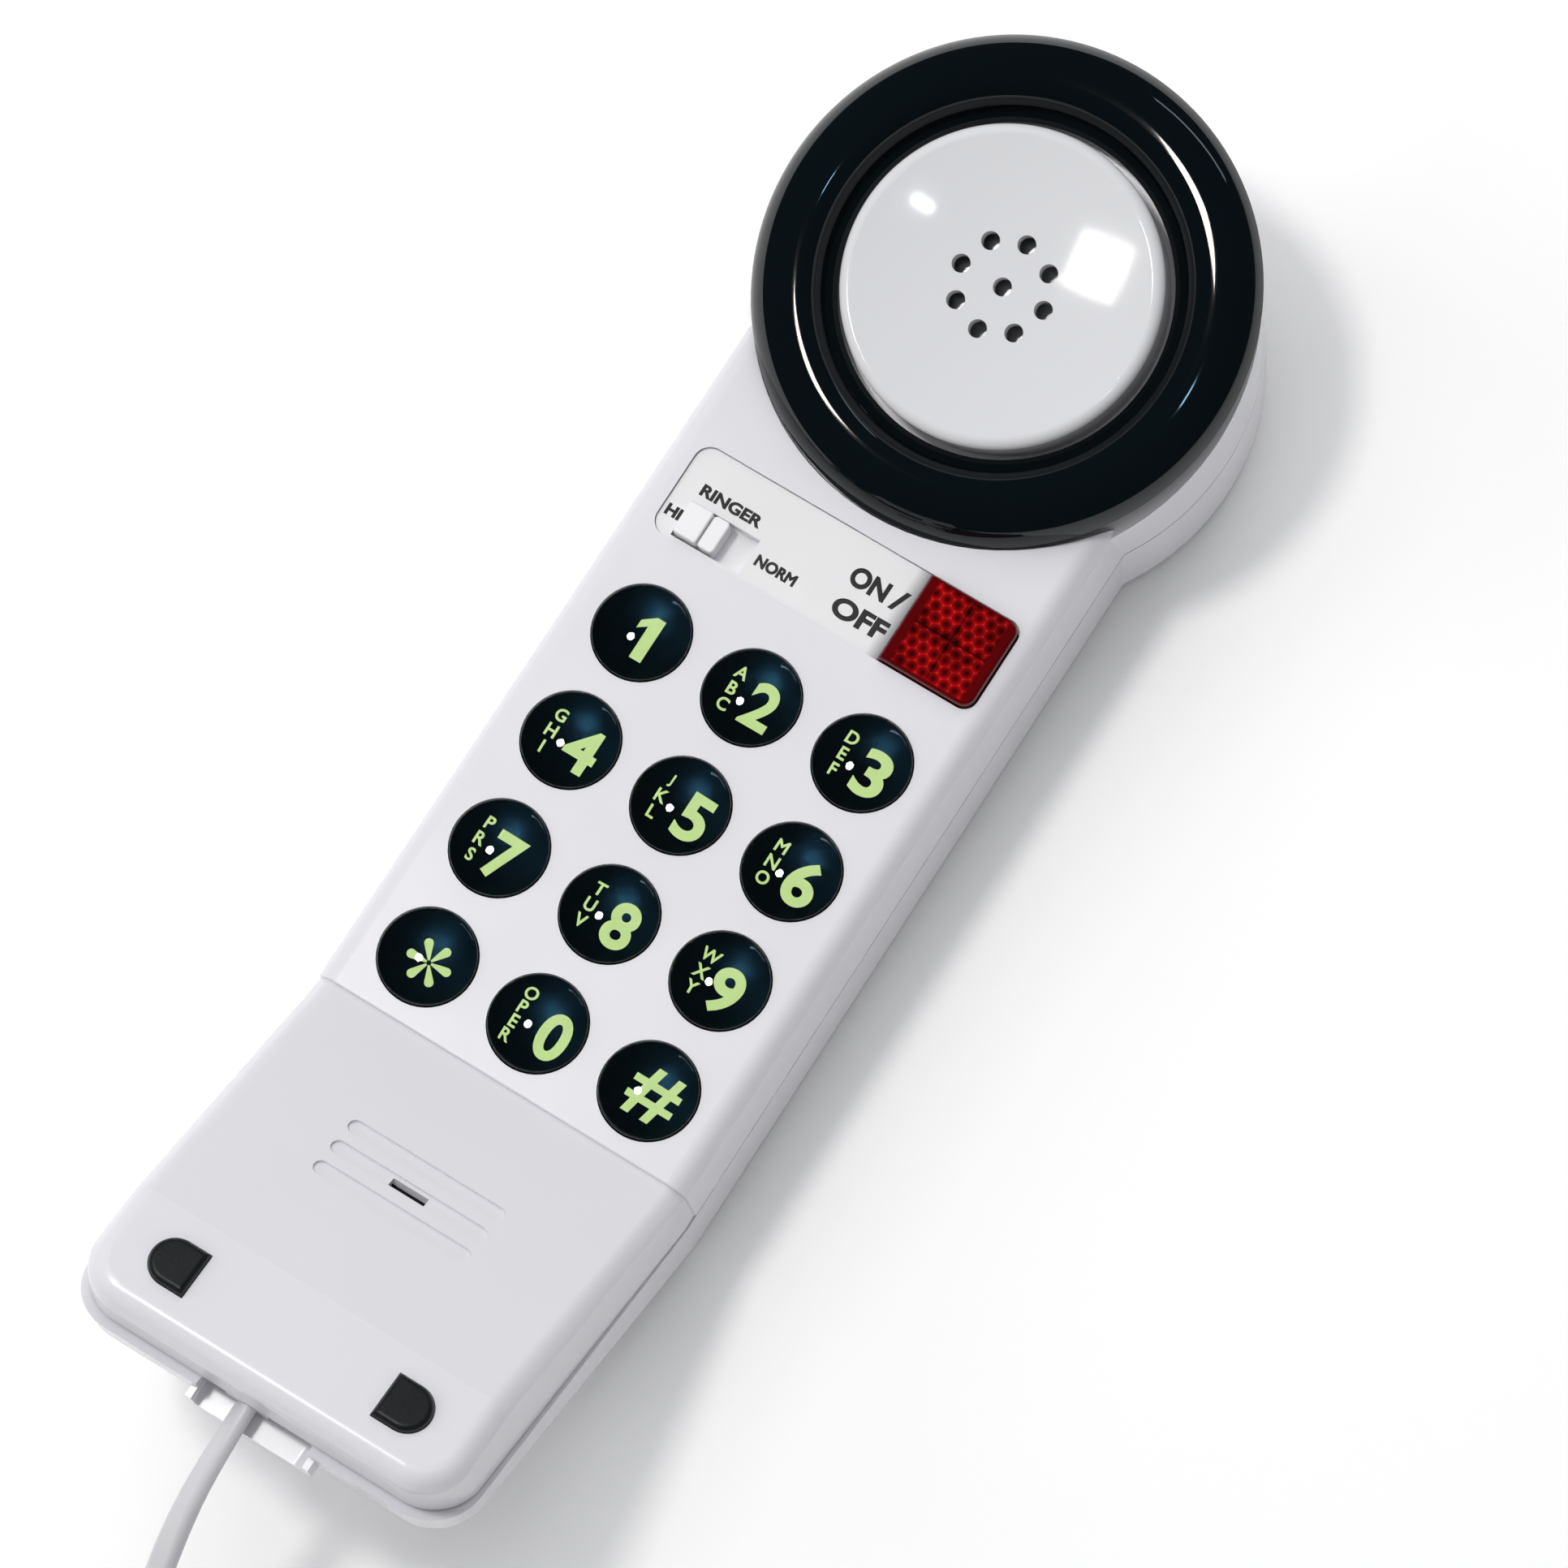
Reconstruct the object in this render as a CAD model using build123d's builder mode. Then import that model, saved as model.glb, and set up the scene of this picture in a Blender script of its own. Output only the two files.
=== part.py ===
from build123d import *
from math import cos, pi, radians, sin, tan
import os

# One-piece telephone handset lying on its flat back, ear end towards +Y, keypad facing +Z.
# The origin is under the middle of the handset, on the surface that it lies on.

# ---- driving dimensions, mm ----
key_pitch = 19.0
key_radius = 7.3
key_hole_radius = 7.55
key_flange_radius = 8.4
keypad_y = -7.5  # middle of the 5 key
face_z = 28.0  # keypad face above the flat back
wall = 2.4
seam_z = 16.0  # height of the joint between the two shells
seam_gap = 0.3
seam_half_width = 32.3  # widest, at the seam
front_draft = 4.3  # degrees that the front shell's sides lean in
rear_draft = 1.5
mouth_half_width = 32.6
edge_radius = 3.2
rear_edge_radius = 3.0
waist_radius = 1.5
end_corner_radius = 8.0
plate_step = 0.5  # the keypad end stands this far proud of the mouth end
step_radius = 0.35

knee_y = keypad_y - 48.2  # the keypad face ends here and the mouth end slopes up
mouth_slope = 27.0
crease_y = keypad_y - 89.5
chin_slope = 12.0
chin_end_y = keypad_y - 107.3
front_end_y = keypad_y - 108.1
rear_end_y = front_end_y - 1.0
rear_knee_y = keypad_y - 50.5
rear_slope = 30.7
seam_knee_y = keypad_y - 50.5
seam_slope = 24.5

head_y = keypad_y + 88.0
head_radius = 37.8
inner_end_y = head_y + 5.0  # the straight body runs this far into the round head
ring_y = head_y + 0.9
ring_z = face_z + 7.2
ring_tilt = 12.0
ring_radius = 37.8
ring_crest_radius = 30.8
ring_crest = 4.8
ring_seat = -4.3  # floor of the ring's pocket, along the ring's axis
ring_pocket_radius = 38.15

cap_radius = 23.8
cap_skirt_radius = 20.7
cap_hole_radius = 1.4
cap_hole_circle = 7.05

panel_left = -27.1
panel_split = 12.4
panel_right = 28.3
panel_low = keypad_y + 33.2
panel_high = keypad_y + 48.5
panel_middle = (panel_low + panel_high) / 2
panel_corner = 2.6
panel_depth = 1.0
panel_gap = 0.1
plate_thickness = 0.5
button_gap = 0.25
button_corner = 2.2
button_flange = 1.1
slot_left = -23.7
slot_right = -11.9
slot_low = keypad_y + 33.9
slot_high = keypad_y + 39.9
slot_middle = (slot_low + slot_high) / 2
knob_length = 6.8
knob_gap = 0.3
knob_split = 3.9  # length of the knob's higher half
knob_tongue = 1.2
ringer_travel = 4.4

board_top = face_z - 7.2
board_thickness = 1.6
board_half_width = 28.6
board_low = keypad_y - 46.0
board_high = keypad_y + 49.5
rear_floor = wall
board_bottom = board_top - board_thickness

cord_x = -2.3
cord_z = face_z + 11.2
cord_start_y = front_end_y + 0.6
cord_radius = 1.6
exit_low = cord_z - 2.1
exit_high = cord_z + 2.1
exit_half_width = 7.0
lip_half_width = 10.4
lip_end_y = front_end_y - 2.8

lip_thickness = 1.2
lip_side_height = 3.2
keyhole_y = keypad_y + 60.0
keyhole_radius = 4.5
keyhole_length = 7.0
keyhole_slot_width = 4.5

coil_x = 24.0
coil_y = keypad_y - 176.0
coil_radius = 33.6
coil_bore = 18.8
coil_height = 10.0
coil_middle = (coil_radius + coil_bore) / 2

tie_width = 5.0
tie_thickness = 0.5
plug_length = 12.0
plug_width = 7.7
plug_height = 6.2
plug_latch_width = 3.2
contact_pitch = 1.02
contact_slot_depth = 3.0

key_names = ["1", "2", "3", "4", "5", "6", "7", "8", "9", "star", "0", "hash"]

# ---- derived heights and planes ----
ring_lean = radians(ring_tilt)
ring_plane = Plane(
    origin=(0, ring_y, ring_z), x_dir=(1, 0, 0), z_dir=(0, -sin(ring_lean), cos(ring_lean))
)
ring_section = Plane(
    origin=ring_plane.origin, x_dir=(1, 0, 0), z_dir=(0, -cos(ring_lean), -sin(ring_lean))
)
seat_plane = ring_plane.offset(ring_seat)
ring_floor = ring_seat - wall  # underside of the pocket's floor, along the ring's axis
mouth_lean = radians(mouth_slope)
seam_lean = radians(seam_slope)
crease_z = face_z + (knee_y - crease_y) * tan(mouth_lean)
chin_end_z = crease_z + (crease_y - chin_end_y) * tan(radians(chin_slope))
far_end_y = keypad_y - 125.0
below = -8.0
above = 60.0


def seam_height(y):
    """Height of the shells' joint at a distance along the handset."""
    return seam_z + max(0.0, seam_knee_y - y) * tan(seam_lean)


def mouth_height(y):
    """Height of the mouth end's front face, which is set back by the plate's step."""
    return face_z + (knee_y - y) * tan(mouth_lean) - plate_step / cos(mouth_lean)


def chin_height(y):
    """Height of the chin's face, beyond the crease."""
    return crease_z + (crease_y - y) * tan(radians(chin_slope)) - plate_step / cos(radians(chin_slope))


end_lean = (chin_end_y - front_end_y) / (chin_end_z - seam_height(front_end_y))
overrun = 20.0  # each half of the front shell is drawn this far past the knee, then trimmed
keypad_profile = [
    (inner_end_y, below),
    (inner_end_y, face_z),
    (knee_y - overrun, face_z),
    (knee_y - overrun, below),
]
mouth_profile = [
    (knee_y + overrun, below),
    (knee_y + overrun, face_z - overrun * tan(mouth_lean)),
    (crease_y, crease_z),
    (chin_end_y, chin_end_z),
    (chin_end_y - (chin_end_z - below) * end_lean, below),
]
rear_end_z = (rear_knee_y - rear_end_y) * tan(radians(rear_slope))
rear_profile = [
    (inner_end_y, above),
    (inner_end_y, 0),
    (rear_knee_y, 0),
    (rear_end_y, rear_end_z),
    (rear_end_y, above),
]
keypad_section = Plane(origin=(0, inner_end_y + 10, seam_z), x_dir=(1, 0, 0), z_dir=(0, -1, 0))
mouth_section = Plane(
    origin=(0, seam_knee_y + 2 * overrun, seam_z - 2 * overrun * tan(seam_lean)),
    x_dir=(1, 0, 0),
    z_dir=(0, -cos(seam_lean), sin(seam_lean)),
)


def side_block(profile, inset):
    """A side outline drawn in by an inset and stretched over the full width."""
    with BuildPart() as block:
        with BuildSketch(Plane.YZ):
            with BuildLine():
                Polyline(*profile, close=True)
            make_face()
            if inset > 0:
                offset(amount=-inset, kind=Kind.INTERSECTION, mode=Mode.REPLACE)
        extrude(amount=seam_half_width + 8, both=True)
    return block.part


def upright(edge):
    """True for an edge that runs mostly up and down."""
    return abs(edge.tangent_at(0.5).Z) > 0.6


def end_corners(form):
    """The two upright edges at the mouth end's corners."""
    return [
        edge
        for edge in form.edges()
        if upright(edge) and edge.center().Y < front_end_y + 6 and abs(edge.center().X) > 20
    ]


def waist_edges(form):
    """The two upright edges in the corners where the body meets the round head."""
    return [
        edge
        for edge in form.edges()
        if upright(edge)
        and 28 < abs(edge.center().X) < 34
        and head_y - 26 < edge.center().Y < head_y - 14
    ]


def rear_rim(form):
    """The edges round the back, but not the line across it."""
    return [
        edge
        for edge in form.edges()
        if not upright(edge)
        and edge.center().Z < seam_height(edge.center().Y) - 1
        and (abs(edge.center().X) > 15 or edge.center().Y > head_y or edge.center().Y < crease_y)
    ]


def front_rim(form, last_y):
    """The edges round a front face, but not the lines across it."""
    return [
        edge
        for edge in form.edges()
        if not upright(edge)
        and edge.center().Z > seam_height(edge.center().Y) + 4
        and edge.center().Y < last_y
        and (abs(edge.center().X) > 15 or edge.center().Y < crease_y - 3)
    ]


def step_edges(form):
    """The edges round the front of the keypad end's step."""
    return [
        edge
        for edge in form.edges()
        if abs(edge.center().Y - knee_y) < 0.01 and edge.center().Z > face_z - edge_radius
    ]


def front_half(profile, section, half_width, inset, rounded):
    """One half of the front shell's outside: a side outline between two leaning side walls."""
    lean = tan(radians(front_draft))
    half = half_width - inset / cos(radians(front_draft))
    low = -16.0
    high = 45.0
    with BuildPart() as form:
        add(side_block(profile, inset))
        with BuildSketch(section):
            with BuildLine():
                Polyline(
                    (-half + low * lean, low),
                    (half - low * lean, low),
                    (half - high * lean, high),
                    (-half + high * lean, high),
                    close=True,
                )
            make_face()
        extrude(amount=260, mode=Mode.INTERSECT)
        corners = end_corners(form)
        if corners:
            fillet(corners, end_corner_radius - inset)
        if rounded:
            fillet(front_rim(form, profile[0][0] - 1), edge_radius)
    return form.part


def front_form(keypad_inset, mouth_inset, rounded=False):
    """The straight body and the mouth end above the seam, met at the knee."""
    knee = Plane(origin=(0, knee_y, 0), x_dir=(1, 0, 0), z_dir=(0, 1, 0))
    keypad_half = front_half(keypad_profile, keypad_section, seam_half_width, keypad_inset, rounded)
    mouth_half = front_half(mouth_profile, mouth_section, mouth_half_width, mouth_inset, rounded)
    with BuildPart() as plate:
        add(keypad_half)
        split(bisect_by=knee, keep=Keep.TOP)
        if rounded:
            fillet(step_edges(plate), step_radius)
    with BuildPart() as form:
        add(mouth_half)
        split(bisect_by=knee, keep=Keep.BOTTOM)
        add(plate.part)
    return form.part


def head_form(inset, low, top_plane):
    """The round head as an upright cylinder, cut off under the ring."""
    with BuildPart() as form:
        with BuildSketch(Plane.XY.offset(low)):
            with Locations((0, head_y)):
                Circle(head_radius - inset)
        extrude(amount=above - low)
        split(bisect_by=top_plane, keep=Keep.BOTTOM)
    return form.part


def rear_form(inset, end_y, rounded=False):
    """The back of the handset from its flat back upwards: body and round head in one."""
    lean = tan(radians(rear_draft))
    base_half = seam_half_width - seam_z * lean - inset
    low_y = end_y + inset
    with BuildPart() as form:
        add(side_block(rear_profile, inset))
        with BuildSketch(Plane.XY):
            with Locations((0, (low_y + inner_end_y) / 2)):
                Rectangle(2 * base_half, inner_end_y - low_y)
        extrude(amount=above, taper=-rear_draft, mode=Mode.INTERSECT)
        fillet(end_corners(form), end_corner_radius - inset)
        with BuildSketch(Plane.XY.offset(inset)):
            with Locations((0, head_y)):
                Circle(head_radius - inset)
        extrude(amount=above - inset)
        if rounded:
            fillet(waist_edges(form), waist_radius)
            fillet(rear_rim(form), rear_edge_radius)
    return form.part


def slab(low, high):
    """Everything between two heights over the seam."""
    seam = [(y, seam_height(y)) for y in (140.0, seam_knee_y, far_end_y)]
    with BuildPart() as form:
        with BuildSketch(Plane.YZ):
            with BuildLine():
                Polyline(
                    *[(y, z + low) for y, z in seam],
                    *[(y, z + high) for y, z in reversed(seam)],
                    close=True,
                )
            make_face()
        extrude(amount=60, both=True)
    return form.part


def tilted_drum(radius, floor):
    """A drum on the ring's axis, from a floor upwards."""
    with BuildPart() as form:
        with BuildSketch(ring_plane.offset(floor)):
            Circle(radius)
        extrude(amount=50)
    return form.part


def columns(places, radius, low, high, within=None):
    """Upright round posts, trimmed to a form."""
    with BuildPart() as form:
        with BuildSketch(Plane.XY.offset(low)):
            with Locations(*places):
                Circle(radius)
        extrude(amount=high - low)
        if within is not None:
            add(within, mode=Mode.INTERSECT)
    return form.part


def front_shape(keypad_inset, mouth_inset, rounded=False):
    """The outside of the front shell with its round head, drawn in by an inset."""
    with BuildPart() as form:
        add(front_form(keypad_inset, mouth_inset, rounded))
        add(head_form(keypad_inset, seam_z - 10, seat_plane))
    return form.part


def block(low, high, corner=0.0):
    """A box between two corners, its upright edges rounded."""
    with BuildPart() as form:
        with BuildSketch(Plane.XY.offset(low[2])):
            with Locations(((low[0] + high[0]) / 2, (low[1] + high[1]) / 2)):
                if corner > 0:
                    RectangleRounded(high[0] - low[0], high[1] - low[1], corner)
                else:
                    Rectangle(high[0] - low[0], high[1] - low[1])
        extrude(amount=high[2] - low[2])
    return form.part


def finish(piece, name):
    """Names a piece and writes its file."""
    piece.part.label = name
    export_step(piece.part, f"parts/{name}.step")


# ---- shared places ----
ring_axis = Axis(ring_plane.origin, ring_plane.z_dir)
key_places = [
    ((index % 3 - 1) * key_pitch, keypad_y + (1 - index // 3) * key_pitch) for index in range(12)
]
board_posts = [(x, keypad_y + y) for x in (-26.6, 26.6) for y in (9.5, -28.5)]
head_posts = [(x, keypad_y + 76.0) for x in (-24.0, 24.0)]
mouth_posts = [(x, keypad_y - 62.0) for x in (-23.0, 23.0)]
head_post_joint = face_z - 9.0
mouth_post_joint = face_z - 7.5
post_radius = 3.6
board_post_radius = 2.2
pilot_radius = 1.4
screw_floor = 14.0  # the housing screws' heads bear up against this height
screw_head_radius = 2.7
mouth_y = keypad_y - 69.5  # middle of the grooves
mouth_plane = Plane(
    origin=(0, mouth_y, mouth_height(mouth_y)),
    x_dir=(1, 0, 0),
    z_dir=(0, sin(mouth_lean), cos(mouth_lean)),
)
chin_lean = radians(chin_slope)
pad_plane = Plane(
    origin=(0, keypad_y - 97.0, chin_height(keypad_y - 97.0)),
    x_dir=(1, 0, 0),
    z_dir=(0, sin(chin_lean), cos(chin_lean)),
)
key_bottom = -3.4  # the key's heights are measured from the face
key_flange_top = -2.5
key_seat = 0.2
key_rim = 0.6
key_apex = 2.6
key_dome_radius = (key_radius**2 + (key_apex - key_rim) ** 2) / (2 * (key_apex - key_rim))
screw_tip = 23.6
counterbore_radius = 3.0
board_screw_radius = 0.85
board_screw_depth = 3.5
mouth_wall = wall - plate_step
microphone_radius = 4.85
rear_inner_y = front_end_y + wall
sound_hole_length = 6.0
sound_hole_width = 1.5
pad_clearance = 0.15
groove_pitch = 4.5
groove_length = 26.4
groove_width = 2.6
groove_depth = 0.5
pad_flat = 15.9
pad_radius = 3.7
pad_recess = 0.5
pad_crown = 1.1

os.makedirs("parts", exist_ok=True)


def pad_outline(side, clearance):
    """A D outline on the chin, its straight side towards the middle."""
    middle = pad_flat + pad_radius
    with BuildSketch() as outline:
        with Locations((side * middle, 0)):
            Circle(pad_radius + clearance)
        with Locations((side * (pad_flat + middle - clearance) / 2, 0)):
            Rectangle(pad_radius + clearance, 2 * (pad_radius + clearance))
    return outline.sketch


def button_outline(inset):
    """The button's outline about its middle, round at its two outer corners, drawn in by an inset."""
    width = panel_right - panel_split - 2 * inset
    height = panel_high - panel_low - 2 * inset
    with BuildSketch() as outline:
        RectangleRounded(width, height, button_corner - inset)
        with Locations((-width / 4, 0)):
            Rectangle(width / 2, height)
    return outline.sketch


# ---- the front shell ----
cavity_drum_radius = ring_pocket_radius + wall
tongue_height = 1.5
groove_inset = 1.2
with BuildPart() as front_inside:
    add(front_form(wall, wall))
    add(tilted_drum(cavity_drum_radius, ring_floor), mode=Mode.SUBTRACT)
    add(head_form(wall, seam_z - 10, ring_plane.offset(ring_floor)))

with BuildPart() as seam_groove:
    add(front_shape(groove_inset, groove_inset + plate_step))
    add(slab(-2, tongue_height + 0.2), mode=Mode.INTERSECT)

with BuildPart() as front_housing:
    add(front_shape(0, plate_step, True))
    fillet(waist_edges(front_housing), waist_radius)
    add(front_inside.part, mode=Mode.SUBTRACT)
    add(slab(seam_gap / 2, above), mode=Mode.INTERSECT)
    add(seam_groove.part, mode=Mode.SUBTRACT)
    add(columns(head_posts, post_radius, head_post_joint, above, front_shape(wall / 2, wall / 2)))
    add(columns(mouth_posts, post_radius, mouth_post_joint, above, front_shape(wall / 2, wall / 2)))
    add(columns(board_posts, board_post_radius, board_top, face_z - wall / 2))
    add(tilted_drum(ring_pocket_radius, ring_seat), mode=Mode.SUBTRACT)
    with BuildSketch(ring_plane.offset(ring_floor - 1)):
        Circle(cap_skirt_radius + 0.3)
    extrude(amount=20, mode=Mode.SUBTRACT)
    # the twelve key holes
    with BuildSketch(Plane.XY.offset(board_top)):
        with Locations(*key_places):
            Circle(key_hole_radius)
    extrude(amount=20, mode=Mode.SUBTRACT)
    # the control panel: a shallow recess, the ringer's slot and the button's opening
    with BuildSketch(Plane.XY.offset(face_z - panel_depth)):
        with Locations(((panel_left + panel_split) / 2, panel_middle)):
            RectangleRounded(panel_split - panel_left, panel_high - panel_low, panel_corner)
        with Locations((panel_split - panel_corner / 2, panel_middle)):
            Rectangle(panel_corner, panel_high - panel_low)
    extrude(amount=20, mode=Mode.SUBTRACT)
    with BuildSketch(Plane.XY.offset(board_top)):
        with Locations(((slot_left + slot_right) / 2, slot_middle)):
            Rectangle(slot_right - slot_left, slot_high - slot_low)
        with Locations(((panel_split + panel_right) / 2, panel_middle)):
            add(button_outline(0))
    extrude(amount=20, mode=Mode.SUBTRACT)
    # the mouth's grooves and its sound hole
    with BuildSketch(mouth_plane):
        with GridLocations(0, groove_pitch, 1, 3):
            SlotOverall(groove_length, groove_width)
    extrude(amount=groove_depth, both=True, mode=Mode.SUBTRACT)
    with BuildSketch(mouth_plane.offset(-wall - 1)):
        Rectangle(sound_hole_length, sound_hole_width)
    extrude(amount=wall + 2, mode=Mode.SUBTRACT)
    # the recesses of the two rest pads
    with BuildSketch(pad_plane):
        add(pad_outline(-1, pad_clearance))
        add(pad_outline(1, pad_clearance))
    extrude(amount=pad_recess, both=True, mode=Mode.SUBTRACT)
    # the screws' pilot holes
    with BuildSketch(Plane.XY.offset(seam_z)):
        with Locations(*head_posts, *mouth_posts):
            Circle(pilot_radius)
    extrude(amount=screw_tip - seam_z + 0.5, mode=Mode.SUBTRACT)
    with BuildSketch(Plane.XY.offset(board_top)):
        with Locations(*board_posts):
            Circle(board_screw_radius + 0.05)
    extrude(amount=board_screw_depth + 0.3, mode=Mode.SUBTRACT)
finish(front_housing, "front_housing")

# ---- the rear shell ----
with BuildPart() as seam_tongue:
    add(front_shape(groove_inset + 0.1, groove_inset + plate_step + 0.1))
    add(front_shape(wall, wall), mode=Mode.SUBTRACT)
    add(slab(-2, tongue_height), mode=Mode.INTERSECT)

with BuildPart() as tongue_root:
    add(rear_form(wall / 2, rear_end_y))
    add(front_shape(wall, wall), mode=Mode.SUBTRACT)
    add(slab(-2, -seam_gap / 2), mode=Mode.INTERSECT)

with BuildPart() as rear_housing:
    add(rear_form(0, rear_end_y, True))
    add(rear_form(wall, front_end_y), mode=Mode.SUBTRACT)
    add(slab(-above, -seam_gap / 2), mode=Mode.INTERSECT)
    add(tongue_root.part)
    add(seam_tongue.part)
    # the lip under the cord
    with BuildSketch(Plane.XY.offset(exit_low - lip_thickness)):
        with Locations((0, (lip_end_y + rear_end_y + 1) / 2)):
            Rectangle(2 * lip_half_width, rear_end_y + 1 - lip_end_y)
    extrude(amount=lip_thickness + lip_side_height)
    with BuildSketch(Plane.XZ.offset(-lip_end_y - 5)):
        with Locations((0, exit_low + 5)):
            RectangleRounded(2 * (lip_half_width - 1), 10, 2)
    extrude(amount=6 + rear_end_y - lip_end_y - 1, mode=Mode.SUBTRACT)
    # the slot that the cord leaves through
    with BuildSketch(Plane.XZ.offset(-rear_end_y - 5)):
        with Locations((cord_x, cord_z)):
            RectangleRounded(2 * exit_half_width, exit_high - exit_low, 0.8)
    extrude(amount=15, both=True, mode=Mode.SUBTRACT)
    # the posts and their screw holes
    add(columns(head_posts, post_radius, 1, head_post_joint - 0.05))
    add(columns(mouth_posts, post_radius, 1, mouth_post_joint - 0.05, rear_form(wall / 2, rear_end_y)))
    with BuildSketch(Plane.XY.offset(-1)):
        with Locations(*head_posts, *mouth_posts):
            Circle(counterbore_radius)
    extrude(amount=screw_floor + 1, mode=Mode.SUBTRACT)
    with BuildSketch(Plane.XY.offset(-1)):
        with Locations(*head_posts, *mouth_posts):
            Circle(pilot_radius + 0.2)
    extrude(amount=above, mode=Mode.SUBTRACT)
    # the keyhole that hangs the telephone on a wall screw
    with BuildSketch(Plane.XY.offset(-1)):
        with Locations((0, keyhole_y)):
            Circle(keyhole_radius)
        with Locations((0, keyhole_y + keyhole_length / 2)):
            SlotCenterToCenter(keyhole_length, keyhole_slot_width, rotation=90)
    extrude(amount=wall + 2, mode=Mode.SUBTRACT)
finish(rear_housing, "rear_housing")

# ---- the earpiece ----
with BuildPart() as ear_cushion:
    with BuildSketch(ring_section):
        with BuildLine():
            Polyline(
                (26.9, 0.8), (26.7, 0.1), (25.6, 0.1), (24.9, -0.3), (24.9, ring_seat),
                (35.4, ring_seat), (ring_radius, 0),
            )
            TangentArc((ring_crest_radius, ring_crest), (ring_radius, 0), tangent=(1, 0))
            TangentArc((ring_crest_radius, ring_crest), (26.9, 0.8), tangent=(-1, 0))
        make_face()
    revolve(axis=ring_axis)
finish(ear_cushion, "ear_cushion")

with BuildPart() as earpiece_cap:
    with BuildSketch(ring_section):
        with BuildLine():
            dish = ThreePointArc((0, 3.0), (11, 3.475), (22, 4.9))
            shoulder = ThreePointArc(dish @ 1, (23.75, 4.25), (cap_radius, 2.7))
            Polyline(
                shoulder @ 1,
                (cap_radius, ring_seat),
                (cap_skirt_radius, ring_seat),
                (cap_skirt_radius, -9.2),
                (18.4, -9.2),
                (18.4, 0.9),
                (0, 0.9),
                (0, 3.0),
            )
        make_face()
    revolve(axis=ring_axis)
    with BuildSketch(ring_plane):
        Circle(cap_hole_radius)
        with PolarLocations(cap_hole_circle, 8):
            Circle(cap_hole_radius)
    extrude(amount=8, both=True, mode=Mode.SUBTRACT)
finish(earpiece_cap, "earpiece_cap")

with BuildPart() as receiver_capsule:
    with BuildSketch(ring_plane.offset(-9.0)):
        Circle(18.0)
    extrude(amount=7.5)
    fillet(receiver_capsule.edges().filter_by(GeomType.CIRCLE), 0.8)
    with BuildSketch(ring_plane.offset(-9.6)):
        with Locations((-4, 0), (4, 0)):
            Rectangle(3.0, 5.0)
    extrude(amount=0.8)
finish(receiver_capsule, "receiver_capsule")

with BuildPart() as receiver_gasket:
    with BuildSketch(ring_plane.offset(-1.5)):
        Circle(17.6)
        Circle(13.0, mode=Mode.SUBTRACT)
    extrude(amount=2.4)
finish(receiver_gasket, "receiver_gasket")

# ---- the twelve keys: a black carrier and a clear domed lens each ----
for key_name, key_place in zip(key_names, key_places):
    key_section = Plane(origin=(*key_place, face_z), x_dir=(1, 0, 0), z_dir=(0, -1, 0))
    key_axis = Axis((*key_place, 0), (0, 0, 1))
    with BuildPart() as key_carrier:
        with BuildSketch(key_section):
            with BuildLine():
                Polyline(
                    (0, key_bottom), (key_flange_radius, key_bottom), (key_flange_radius, key_flange_top),
                    (key_radius, key_flange_top), (key_radius, key_seat), (0, key_seat), close=True,
                )
            make_face()
        revolve(axis=key_axis)
    finish(key_carrier, f"key_{key_name}")
    with BuildPart() as key_lens:
        with BuildSketch(key_section):
            with BuildLine():
                dome = RadiusArc((0, key_apex), (key_radius, key_rim), -key_dome_radius)
                Polyline(dome @ 1, (key_radius, key_seat), (0, key_seat), (0, key_apex))
            make_face()
        revolve(axis=key_axis)
    finish(key_lens, f"key_lens_{key_name}")

# ---- the keypad's membrane and the circuit board ----
with BuildPart() as keypad_membrane:
    add(block((-24.2, keypad_y - 46, board_top), (24.2, keypad_y + 27, board_top + 1.6), 2.0))
    with BuildSketch(Plane.XY.offset(board_top + 1.6)):
        with Locations(*key_places):
            Circle(4.0)
    extrude(amount=0.5, taper=30)
finish(keypad_membrane, "keypad_membrane")

with BuildPart() as main_pcb:
    add(block((-board_half_width, board_low, board_bottom), (board_half_width, board_high, board_top), 2))
    with BuildSketch(Plane.XY.offset(board_bottom)):
        with Locations(*board_posts):
            Circle(board_screw_radius + 0.25)
    extrude(amount=board_thickness, mode=Mode.SUBTRACT)
finish(main_pcb, "main_pcb")

with BuildPart() as dialler_chip:
    add(block((-11.5, keypad_y - 8, board_bottom - 3.7), (11.5, keypad_y - 1.4, board_bottom - 0.5)))
    with BuildSketch(Plane.XY.offset(board_bottom - 2.4)):
        with Locations((0, keypad_y - 4.7)):
            with GridLocations(2.54, 7.6, 9, 2):
                Rectangle(0.5, 1.0)
    extrude(amount=2.4)
finish(dialler_chip, "dialler_chip")

with BuildPart() as line_transformer:
    add(block((-20, keypad_y + 12, board_bottom - 11), (-6, keypad_y + 14.5, board_bottom)))
    add(block((-20, keypad_y + 21.5, board_bottom - 11), (-6, keypad_y + 24, board_bottom)))
    add(block((-20, keypad_y + 12, board_bottom - 11), (-17, keypad_y + 24, board_bottom)))
    add(block((-9, keypad_y + 12, board_bottom - 11), (-6, keypad_y + 24, board_bottom)))
    add(block((-18, keypad_y + 13, board_bottom - 9.5), (-8, keypad_y + 23, board_bottom - 1.5), 1))
finish(line_transformer, "line_transformer")

with BuildPart() as line_capacitor:
    with BuildSketch(Plane.XY.offset(board_bottom - 11)):
        with Locations((10, keypad_y + 18)):
            Circle(4.0)
    extrude(amount=11)
    fillet(line_capacitor.edges().sort_by(Axis.Z)[0], 0.6)
finish(line_capacitor, "line_capacitor")

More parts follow.
